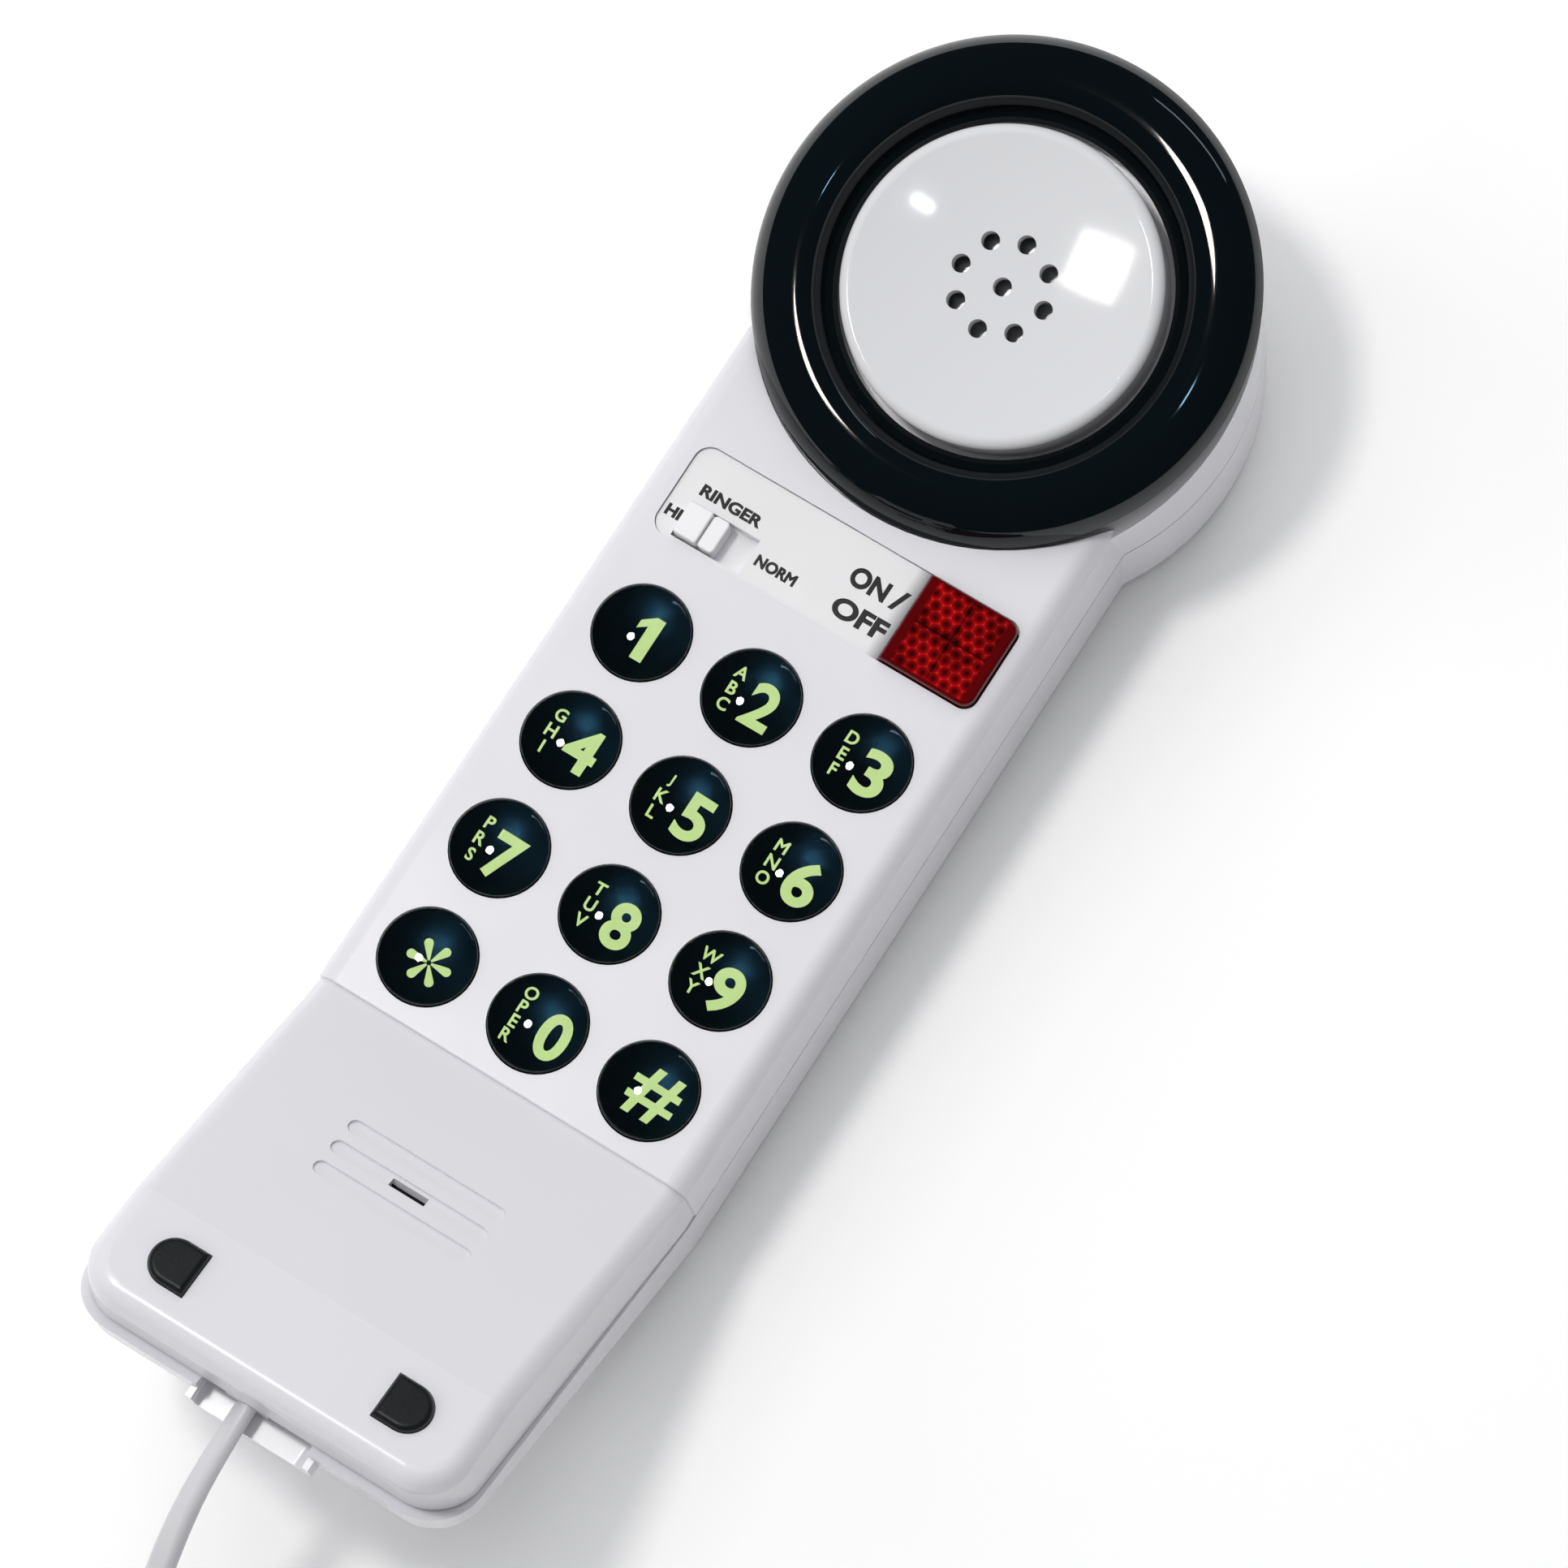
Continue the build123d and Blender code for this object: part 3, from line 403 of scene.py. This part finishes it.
def reflector_red():
    """Clear red plastic over a moulded honeycomb reflector, with a plain border."""
    material, tree, shader = shader_of("button_red")
    low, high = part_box("on_off_button")
    middle = centre_of("on_off_button")
    x, y, _ = axes(tree)
    from_x = calc(tree, "ABSOLUTE", calc(tree, "SUBTRACT", x, middle.x))
    from_y = calc(tree, "ABSOLUTE", calc(tree, "SUBTRACT", y, middle.y))
    past_x = calc(tree, "SUBTRACT", from_x, (high[0] - low[0]) / 2 - REFLECTOR_BORDER)
    past_y = calc(tree, "SUBTRACT", from_y, (high[1] - low[1]) / 2 - REFLECTOR_BORDER)
    edge = spread_to(tree, calc(tree, "MAXIMUM", past_x, past_y), 0.0, 1.0, -0.15 * MM, 0.15 * MM)
    from_cell = hex_distance(tree, x, y, REFLECTOR_PITCH)
    cell = spread_to(tree, from_cell, 0.0, 1.0, 0.0, REFLECTOR_CORNER)
    honeycomb = colour_steps(
        tree,
        cell,
        [
            (0.0, (0.05, 0.0005, 0.001)),
            (0.30, (0.07, 0.0005, 0.001)),
            (0.50, (0.20, 0.001, 0.002)),
            (0.80, (0.30, 0.002, 0.003)),
            (1.0, (0.70, 0.018, 0.018)),
        ],
    )
    patch = noise(tree, object_position(tree), 260.0, 3.0, 0.6)
    dim = colour_steps(tree, patch, [(0.36, (0.35, 0.3, 0.3)), (0.62, (1.0, 1.0, 1.0))])
    whole = tree.nodes.new("ShaderNodeValue").outputs["Value"]
    whole.default_value = 1.0
    patched = mixed(tree, whole, honeycomb, dim, "MULTIPLY")
    seam = calc(tree, "MINIMUM", from_x, from_y)
    near_seam = spread_to(tree, seam, 0.0, 1.0, 0.0, 0.3 * MM)
    line = colour_steps(tree, near_seam, [(0.3, (0.3, 0.3, 0.3)), (0.9, (1, 1, 1))])
    quartered = mixed(tree, whole, patched, line, "MULTIPLY")
    rim = between(tree, patch, (0.07, 0.0005, 0.001), (0.12, 0.001, 0.002))
    tree.links.new(mixed(tree, edge, quartered, rim), shader.inputs["Base Color"])
    shader.inputs["Roughness"].default_value = 0.5
    shader.inputs["Specular IOR Level"].default_value = 0.0
    shader.inputs["Coat Weight"].default_value = 1.0
    shader.inputs["Coat Roughness"].default_value = 0.03
    shader.inputs["Coat IOR"].default_value = PLASTIC_IOR
    bump(tree, shader, cell, 0.00008, 0.5)
    return material


LABEL_TURN = 2.2 * MM  # the width of the plate's edge that turns down beside the button, where painted shade darkens it


def label_silver():
    """A satin pale plate, with painted shade that darkens it where it turns down beside the button.
    """
    material, tree, shader = shader_of("label_silver")
    x, _, _ = axes(tree)
    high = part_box("control_label_plate")[1][0]
    # painted shade: a share that grows across the turned-down edge
    turn = spread_to(tree, x, 0.0, 1.0, high - LABEL_TURN, high)
    drift = noise(tree, object_position(tree), 60.0, 3.0)
    body = between(tree, drift, (0.66, 0.66, 0.67), (0.73, 0.73, 0.74))
    # the painted shade's colour on the turned-down edge
    dark = between(tree, turn, (0.30, 0.30, 0.31), (0.22, 0.22, 0.23))
    tree.links.new(mixed(tree, turn, body, dark), shader.inputs["Base Color"])
    smudge = noise(tree, object_position(tree), 400.0)
    tree.links.new(spread_to(tree, smudge, 0.28, 0.4), shader.inputs["Roughness"])
    shader.inputs["Metallic"].default_value = 0.15
    bump(tree, shader, noise(tree, object_position(tree), 3000.0, 2.0), 0.000006, 0.4)
    return material


WHITE = gloss_white("housing_white", (0.685, 0.680, 0.715), (0.705, 0.700, 0.735), (0.16, 0.24))
CAP_WHITE = gloss_white("cap_white", (0.79, 0.79, 0.81), (0.81, 0.81, 0.83), (0.05, 0.09))
KNOB_WHITE = gloss_white("knob_white", (0.76, 0.76, 0.78), (0.80, 0.80, 0.82), (0.25, 0.35))
RING_BLACK = moulded("ring_black", (0.0015, 0.003, 0.004), (0.003, 0.006, 0.008), (0.03, 0.07))
KEY_BLACK = key_base()
PAD_BLACK = moulded(
    "pad_black", (0.004, 0.005, 0.006), (0.009, 0.010, 0.011), (0.34, 0.48), 0.00002, 2200.0
)
MEMBRANE = moulded("membrane_grey", (0.22, 0.22, 0.23), (0.3, 0.3, 0.31), (0.6, 0.8), 0.00002)
BOARD = moulded("board_green", (0.015, 0.10, 0.04), (0.03, 0.16, 0.07), (0.25, 0.45), 0.00002)
PART_BLACK = moulded(
    "component_black", (0.015, 0.015, 0.016), (0.035, 0.035, 0.037), (0.4, 0.6), 0.00002
)
STEEL = moulded(
    "steel", (0.42, 0.42, 0.43), (0.58, 0.58, 0.59), (0.22, 0.42), 0.00001, 1500.0, metal=1.0
)
GOLD = moulded("contact_gold", (0.75, 0.52, 0.18), (0.85, 0.62, 0.25), (0.15, 0.3), metal=1.0)
BLUE = moulded("capacitor_blue", (0.02, 0.05, 0.2), (0.03, 0.08, 0.28), (0.2, 0.35))
BOOT = moulded("boot_grey", (0.58, 0.58, 0.61), (0.64, 0.64, 0.67), (0.4, 0.55), 0.00002)
FOAM_DARK = moulded(
    "foam_dark", (0.004, 0.004, 0.005), (0.012, 0.012, 0.014), (0.8, 0.95), 0.0001, 1500.0
)
LAMP_RED = moulded("lamp_red", (0.5, 0.01, 0.01), (0.7, 0.03, 0.02), (0.1, 0.2), coat=1.0)
CORD_GREY = moulded(
    "cord_grey", (0.53, 0.53, 0.56), (0.60, 0.60, 0.62), (0.32, 0.45), 0.00001, 1800.0
)
TIE_WHITE = moulded("tie_white", (0.68, 0.68, 0.68), (0.76, 0.76, 0.76), (0.5, 0.65), 0.00003)
LENS_CLEAR = clear_plastic("lens_clear", (1, 1, 1))
PLUG_CLEAR = clear_plastic("plug_clear", (0.95, 0.95, 0.92), 0.06)
GLOW = glow_print()
BUTTON_RED = reflector_red()
LABEL = label_silver()
INK = moulded("legend_ink", (0.002, 0.002, 0.002), (0.005, 0.005, 0.005), (0.35, 0.5))

NODE_LOOKS = {
    WHITE: ("front_housing", "rear_housing"),
    CAP_WHITE: ("earpiece_cap",),
    RING_BLACK: ("ear_cushion",),
    KNOB_WHITE: ("ringer_switch_knob", "ringer_switch_body"),
    PAD_BLACK: ("rest_pad",),
    KEY_BLACK: ("key_",),
    LENS_CLEAR: ("key_lens",),
    MEMBRANE: ("keypad_membrane",),
    FOAM_DARK: ("receiver_gasket", "microphone_boot", "microphone_capsule"),
    BUTTON_RED: ("on_off_button",),
    LAMP_RED: ("indicator_lamp",),
    LABEL: ("control_label_plate",),
    BOARD: ("main_pcb",),
    STEEL: ("housing_screw", "board_screw", "receiver_capsule", "line_transformer"),
    BLUE: ("line_capacitor",),
    BOOT: ("cord_strain_relief",),
    CORD_GREY: ("line_cord",),
    TIE_WHITE: ("cord_tie",),
    PLUG_CLEAR: ("modular_plug",),
    GOLD: ("plug_contacts",),
}


def material_for(node):
    """The material whose longest name stem fits a node."""
    fitting = [
        (len(stem), material)
        for material, stems in NODE_LOOKS.items()
        for stem in stems
        if node.startswith(stem)
    ]
    return max(fitting, key=lambda pair: pair[0])[1] if fitting else PART_BLACK


# ---------------------------------------------------------------- key lenses and lettering
KEY_SEAT = 28.2 * MM  # the heights of a key's top, of its lens's rim and of the dome, as in the CAD
KEY_RIM = 28.6 * MM
KEY_APEX = 30.6 * MM
LENS_RADIUS = 7.3 * MM
LENS_SINK = 0.05 * MM  # how far the lens's foot reaches into the key
LENS_EDGE = 0.1 * MM  # the chamfer between the lens's wall and its dome
LENS_RINGS = 14
LENS_TURNS = 72
DOME_RADIUS = (LENS_RADIUS**2 + (KEY_APEX - KEY_RIM) ** 2) / (2 * (KEY_APEX - KEY_RIM))
PRINT_HALF = 0.03 * MM
PRINT_LOW = KEY_SEAT - PRINT_HALF
PRINT_HIGH = KEY_SEAT + PRINT_HALF


def lens_profile():
    """Radius and height from the lens's foot, up its wall and over the dome."""
    profile = [(LENS_RADIUS, KEY_SEAT - LENS_SINK), (LENS_RADIUS, KEY_RIM - LENS_EDGE)]
    centre = KEY_APEX - DOME_RADIUS
    for step in range(LENS_RINGS):
        radius = (LENS_RADIUS - LENS_EDGE) * (1 - step / LENS_RINGS)
        profile.append((radius, centre + math.sqrt(DOME_RADIUS**2 - radius**2)))
    return profile


def make_lens(key, body, middle):
    """A clear domed lens in the place of the CAD's plain one."""
    bm = bmesh.new()
    rings = []
    for radius, height in lens_profile():
        ring = []
        for index in range(LENS_TURNS):
            angle = 2 * math.pi * index / LENS_TURNS
            x = middle.x + radius * math.cos(angle)
            y = middle.y + radius * math.sin(angle)
            ring.append(bm.verts.new((x, y, height)))
        rings.append(ring)
    for lower, upper in zip(rings, rings[1:]):
        for index in range(LENS_TURNS):
            after = (index + 1) % LENS_TURNS
            bm.faces.new((lower[index], lower[after], upper[after], upper[index]))
    apex = bm.verts.new((middle.x, middle.y, KEY_APEX))
    for index in range(LENS_TURNS):
        bm.faces.new((rings[-1][index], rings[-1][(index + 1) % LENS_TURNS], apex))
    foot = bm.faces.new(list(reversed(rings[0])))
    for edge in foot.edges:
        edge.smooth = False
    lens = new_mesh("key_dome_" + key, bm, LENS_CLEAR)
    lens.visible_shadow = False  # so that light reaches the print below it
    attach(lens, body)
    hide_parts("key_lens_" + key)


def glyphs(text, weight):
    """Solid lettering in the built-in font, its strokes thickened by a weight on each side."""
    curve = bpy.data.curves.new("glyphs", "FONT")
    curve.body = text
    curve.extrude = 0.05  # place_glyphs sets the real thickness
    curve.bevel_depth = weight
    curve.bevel_resolution = 0
    curve.resolution_u = 6
    writing = bpy.data.objects.new("glyphs", curve)
    bpy.context.scene.collection.objects.link(writing)
    mesh = writing.evaluated_get(bpy.context.evaluated_depsgraph_get()).to_mesh()
    bm = bmesh.new()
    bm.from_mesh(mesh)
    bpy.data.objects.remove(writing)
    bpy.data.curves.remove(curve)
    bmesh.ops.remove_doubles(bm, verts=bm.verts, dist=1e-5)
    return bm


def extent(bm):
    """The lowest and highest corners of a bmesh."""
    low = Vector([min(vert.co[axis] for vert in bm.verts) for axis in range(3)])
    high = Vector([max(vert.co[axis] for vert in bm.verts) for axis in range(3)])
    return low, high


def place_glyphs(bm, middle, height, bottom, top, width=None):
    """Scales lettering to a height, and a width if given, and puts its middle at a place."""
    low, high = extent(bm)
    scale = height / (high.y - low.y)
    across = width / (high.x - low.x) if width else scale
    centre = (low + high) / 2
    for vert in bm.verts:
        place = vert.co - centre
        vert.co = (
            middle[0] + place.x * across,
            middle[1] + place.y * scale,
            (bottom + top) / 2 + place.z * (top - bottom) / (high.z - low.z),
        )


def join_meshes(parts):
    """One bmesh from several, which are freed."""
    whole = bmesh.new()
    for part in parts:
        mesh = bpy.data.meshes.new("part")
        part.to_mesh(mesh)
        part.free()
        whole.from_mesh(mesh)
        bpy.data.meshes.remove(mesh)
    return whole


def extrude_outline(bm, ends):
    """Closes a solid between two rings of vertices, the lower one first, anticlockwise."""
    lower, upper = ends
    bm.faces.new(list(reversed(lower)))
    bm.faces.new(upper)
    for index in range(len(lower)):
        after = (index + 1) % len(lower)
        bm.faces.new((lower[index], lower[after], upper[after], upper[index]))


PETALS = 6
PETAL_START = 0.35 * MM
PETAL_REACH = 3.45 * MM
PETAL_ROOT = 0.14 * MM  # half of a petal's width at its start
PETAL_END = 0.66 * MM  # the radius of its round end
PETAL_ARC = 200  # degrees of that round end
PETAL_STEPS = 12
STAR_TURN = 2.7  # degrees


def star_glyph(middle, bottom, top):
    """Six teardrop petals round a centre, one pair of them almost level."""
    bm = bmesh.new()
    for petal in range(PETALS):
        turn = Matrix.Rotation(math.radians(360 / PETALS * petal + STAR_TURN), 3, "Z")
        outline = [Vector((PETAL_START, -PETAL_ROOT, 0))]
        for step in range(PETAL_STEPS + 1):
            angle = math.radians(-PETAL_ARC / 2 + PETAL_ARC * step / PETAL_STEPS)
            x = PETAL_REACH - PETAL_END + PETAL_END * math.cos(angle)
            outline.append(Vector((x, PETAL_END * math.sin(angle), 0)))
        outline.append(Vector((PETAL_START, PETAL_ROOT, 0)))
        ends = []
        for height in (bottom, top):
            centre = Vector((*middle, height))
            ends.append([bm.verts.new(turn @ point + centre) for point in outline])
        extrude_outline(bm, ends)
    return bm


# each numeral's middle from its key's middle, its width and its height, in millimetres
DIGITS = {
    "1": (0.75, -0.60, 3.2, 6.8),
    "2": (2.10, -0.57, 4.45, 6.85),
    "3": (2.25, -0.85, 4.55, 7.05),
    "4": (2.30, -0.58, 4.95, 6.9),
    "5": (2.70, -0.82, 4.5, 7.05),
    "6": (2.30, -0.85, 4.75, 7.1),
    "7": (1.45, -1.10, 4.6, 7.0),
    "8": (2.40, -0.80, 4.5, 7.1),
    "9": (1.50, -1.10, 4.65, 7.05),
    "0": (3.05, -0.70, 4.6, 7.15),
}
HASH = (1.10, -0.45, 7.3, 7.5)
STAR = (0.80, -0.75)
ONE_OUTLINE = (
    (-0.08, 0.0), (0.5, 0.0), (0.5, 1.0), (0.08, 1.0), (-0.5, 0.79), (-0.5, 0.60), (-0.08, 0.74),
)
LETTER_OFFSET = (-2.85, -0.35)  # the middle of a key's column of letters, from the key's middle
LETTER_HEIGHT = 1.95
LETTER_STEP = 2.55
FOUR_LETTER_STEP = 2.25
DIGIT_WEIGHT = 0.032
LETTER_WEIGHT = 0.024
HASH_WEIGHT = 0.018


def flat_solid(outline, bottom, top):
    """A thin solid from an outline of (x, y) places, anticlockwise."""
    bm = bmesh.new()
    ends = [[bm.verts.new((x, y, height)) for x, y in outline] for height in (bottom, top)]
    extrude_outline(bm, ends)
    return bm


def key_glyphs(key, middle):
    """The numeral or symbol of a key and its column of letters."""
    x, y = middle.x / MM, middle.y / MM
    if key == "star":
        return [star_glyph(((x + STAR[0]) * MM, (y + STAR[1]) * MM), PRINT_LOW, PRINT_HIGH)]
    across, up, width, height = HASH if key == "hash" else DIGITS[key]
    place = ((x + across) * MM, (y + up) * MM)
    if key == "1":
        digit = flat_solid(ONE_OUTLINE, 0, 1)
    elif key == "hash":
        digit = glyphs("#", HASH_WEIGHT)
    else:
        digit = glyphs(key, DIGIT_WEIGHT)
    place_glyphs(digit, place, height * MM, PRINT_LOW, PRINT_HIGH, width * MM)
    parts = [digit]
    letters = KEY_LETTERS.get(key, "")
    step = LETTER_STEP if len(letters) < 4 else FOUR_LETTER_STEP
    for index, letter in enumerate(letters):
        mark = glyphs(letter, LETTER_WEIGHT)
        rise = ((len(letters) - 1) / 2 - index) * step
        place = ((x + LETTER_OFFSET[0]) * MM, (y + LETTER_OFFSET[1] + rise) * MM)
        place_glyphs(mark, place, LETTER_HEIGHT * MM, PRINT_LOW, PRINT_HIGH)
        parts.append(mark)
    return parts


def make_keys():
    """Each key's lens and the print below it, which ride on the key."""
    for key in KEY_NAMES:
        body = "key_" + key
        middle = centre_of("key_lens_" + key)
        make_lens(key, body, middle)
        marks = join_meshes(key_glyphs(key, middle))
        printed = new_mesh("key_print_" + key, marks, GLOW, smooth=False)
        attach(printed, body)


LEGEND_LOW = 27.47 * MM
LEGEND_HIGH = 27.52 * MM
# text, left edge, right edge, middle height and letter height, in millimetres, and stroke weight
LEGENDS = [
    ("RINGER", -23.5, -13.1, 34.65, 1.95, 0.045),
    ("HI", -26.4, -23.9, 29.6, 1.85, 0.05),
    ("NORM", -10.9, -4.1, 29.7, 1.9, 0.05),
    ("ON", 2.2, 8.4, 35.1, 3.25, 0.045),
    ("/", 9.3, 11.5, 35.1, 3.4, 0.025),
    ("OFF", 2.3, 11.3, 29.9, 3.25, 0.042),
]


def make_legends():
    """The words on the label plate, as one thin inked piece."""
    parts = []
    for text, left, right, middle, height, weight in LEGENDS:
        word = glyphs(text, weight)
        place = ((left + right) / 2 * MM, middle * MM)
        width = (right - left) * MM
        place_glyphs(word, place, height * MM, LEGEND_LOW, LEGEND_HIGH, width)
        parts.append(word)
    legends = new_mesh("label_legends", join_meshes(parts), INK, smooth=False)
    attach(legends, "handset")


# ---------------------------------------------------------------- the line cord
CORD_WIDTH = 4.6 * MM
CORD_THICK = 2.4 * MM
CORD_ROUTE = [
    (-2.3, -115.0, 39.2),
    (-2.3, -126.0, 39.2),
    (-2.6, -137.5, 30.5),
    (-2.7, -147.0, 17.5),
    (-2.5, -156.0, 8.5),
    (-2.3, -165.5, 5.0),
]
CORD_TILT = (1.0, 0.8, 0.35, 0.2, 0.6, 1.1, 1.4)  # along the run from the slot to the coil
GROOVE_DEPTH = 0.82  # the height of a groove's floor, as a share of half the thickness
EDGE_STEPS = 8
COIL_X = 24.0 * MM
COIL_Y = -183.5 * MM
COIL_OUTER = 32.3 * MM
COIL_STEP = 2.45 * MM
COIL_COLUMNS = 6
COIL_TILT = math.pi / 2  # the turns stand on edge
POINTS_PER_TURN = 16
LOWER_LAYER = CORD_WIDTH / 2 + 0.1 * MM
UPPER_LAYER = CORD_WIDTH * 1.5 + 0.3 * MM
CLIMB_START = 0.75  # how many turns before the lower layer ends the cord starts to climb
LEAD_HEIGHT = 9.6 * MM
LEAD_TILT = (1.1, 0.3, 0.0)  # from the coil's last turn to the plug


def coil_points():
    """Twelve turns: six on the floor, each inside the last, and six outwards again above them."""
    points = []
    for index in range(2 * COIL_COLUMNS * POINTS_PER_TURN + 1):
        turns = index / POINTS_PER_TURN
        inward = turns if turns < COIL_COLUMNS else 2 * COIL_COLUMNS - turns
        radius = COIL_OUTER - COIL_STEP * min(inward, COIL_COLUMNS - 0.5)
        rise = min(1.0, max(0.0, turns - COIL_COLUMNS + CLIMB_START))
        height = LOWER_LAYER + (UPPER_LAYER - LOWER_LAYER) * rise
        angle = math.pi + 2 * math.pi * turns
        x = COIL_X + radius * math.cos(angle)
        y = COIL_Y + radius * math.sin(angle)
        points.append(Vector((x, y, height)))
    return points


def cord_profile():
    """The flat cord's section: two rounded edges and a shallow groove along each face."""
    half_width = CORD_WIDTH / 2
    half_thick = CORD_THICK / 2
    outline = []
    for side in (1, -1):
        for step in range(EDGE_STEPS + 1):
            angle = side * math.pi / 2 * (1 - 2 * step / EDGE_STEPS)
            x = side * (half_width - half_thick) + side * half_thick * math.cos(angle)
            outline.append((x, half_thick * math.sin(angle)))
        outline.append((0.0, -side * half_thick * GROOVE_DEPTH))
    curve = bpy.data.curves.new("cord_section", "CURVE")
    curve.dimensions = "2D"
    spline = curve.splines.new("POLY")
    spline.points.add(len(outline) - 1)
    for point, (x, y) in zip(spline.points, outline):
        point.co = (x, y, 0, 1)
    spline.use_cyclic_u = True
    section = bpy.data.objects.new("cord_section", curve)
    bpy.context.scene.collection.objects.link(section)
    section.hide_render = True
    section.hide_viewport = True
    return section


def plug_lead():
    """The last stretch: off the upper layer, up onto the coil and into the plug's back."""
    plug = centre_of("modular_plug")
    entry = plug.z - 0.6 * MM
    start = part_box("modular_plug")[0][0] + 2.5 * MM
    return [
        Vector((start - 12 * MM, plug.y, LEAD_HEIGHT)),
        Vector((start - 6 * MM, plug.y, entry)),
        Vector((start + 4 * MM, plug.y, entry)),
    ]


def make_cord():
    """The whole line cord: the run from the slot, the coil and the lead into the plug."""
    curve = bpy.data.curves.new("line_cord_visual", "CURVE")
    curve.dimensions = "3D"
    curve.resolution_u = 6
    spline = curve.splines.new("NURBS")
    route = [Vector(point) * MM for point in CORD_ROUTE]
    points = route[:-1] + coil_points() + plug_lead()
    on_edge = len(points) - len(CORD_TILT) - len(LEAD_TILT)
    tilts = [*CORD_TILT, *[COIL_TILT] * on_edge, *LEAD_TILT]
    spline.points.add(len(points) - 1)
    for target, point, tilt in zip(spline.points, points, tilts):
        target.co = (*point, 1)
        target.tilt = tilt
    spline.order_u = 3
    spline.use_endpoint_u = True
    curve.bevel_mode = "OBJECT"
    curve.bevel_object = cord_profile()
    curve.use_fill_caps = True
    curve.twist_mode = "Z_UP"
    curve.materials.append(CORD_GREY)
    cord = bpy.data.objects.new("line_cord_visual", curve)
    bpy.context.scene.collection.objects.link(cord)
    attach(cord, "handset")
    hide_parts("line_cord", "line_cord_coil")
    return cord


def main():
    make_camera()
    make_floor()
    make_light()
    cord = make_cord()
    make_keys()
    make_legends()
    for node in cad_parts:
        paint(node, material_for(node))


main()
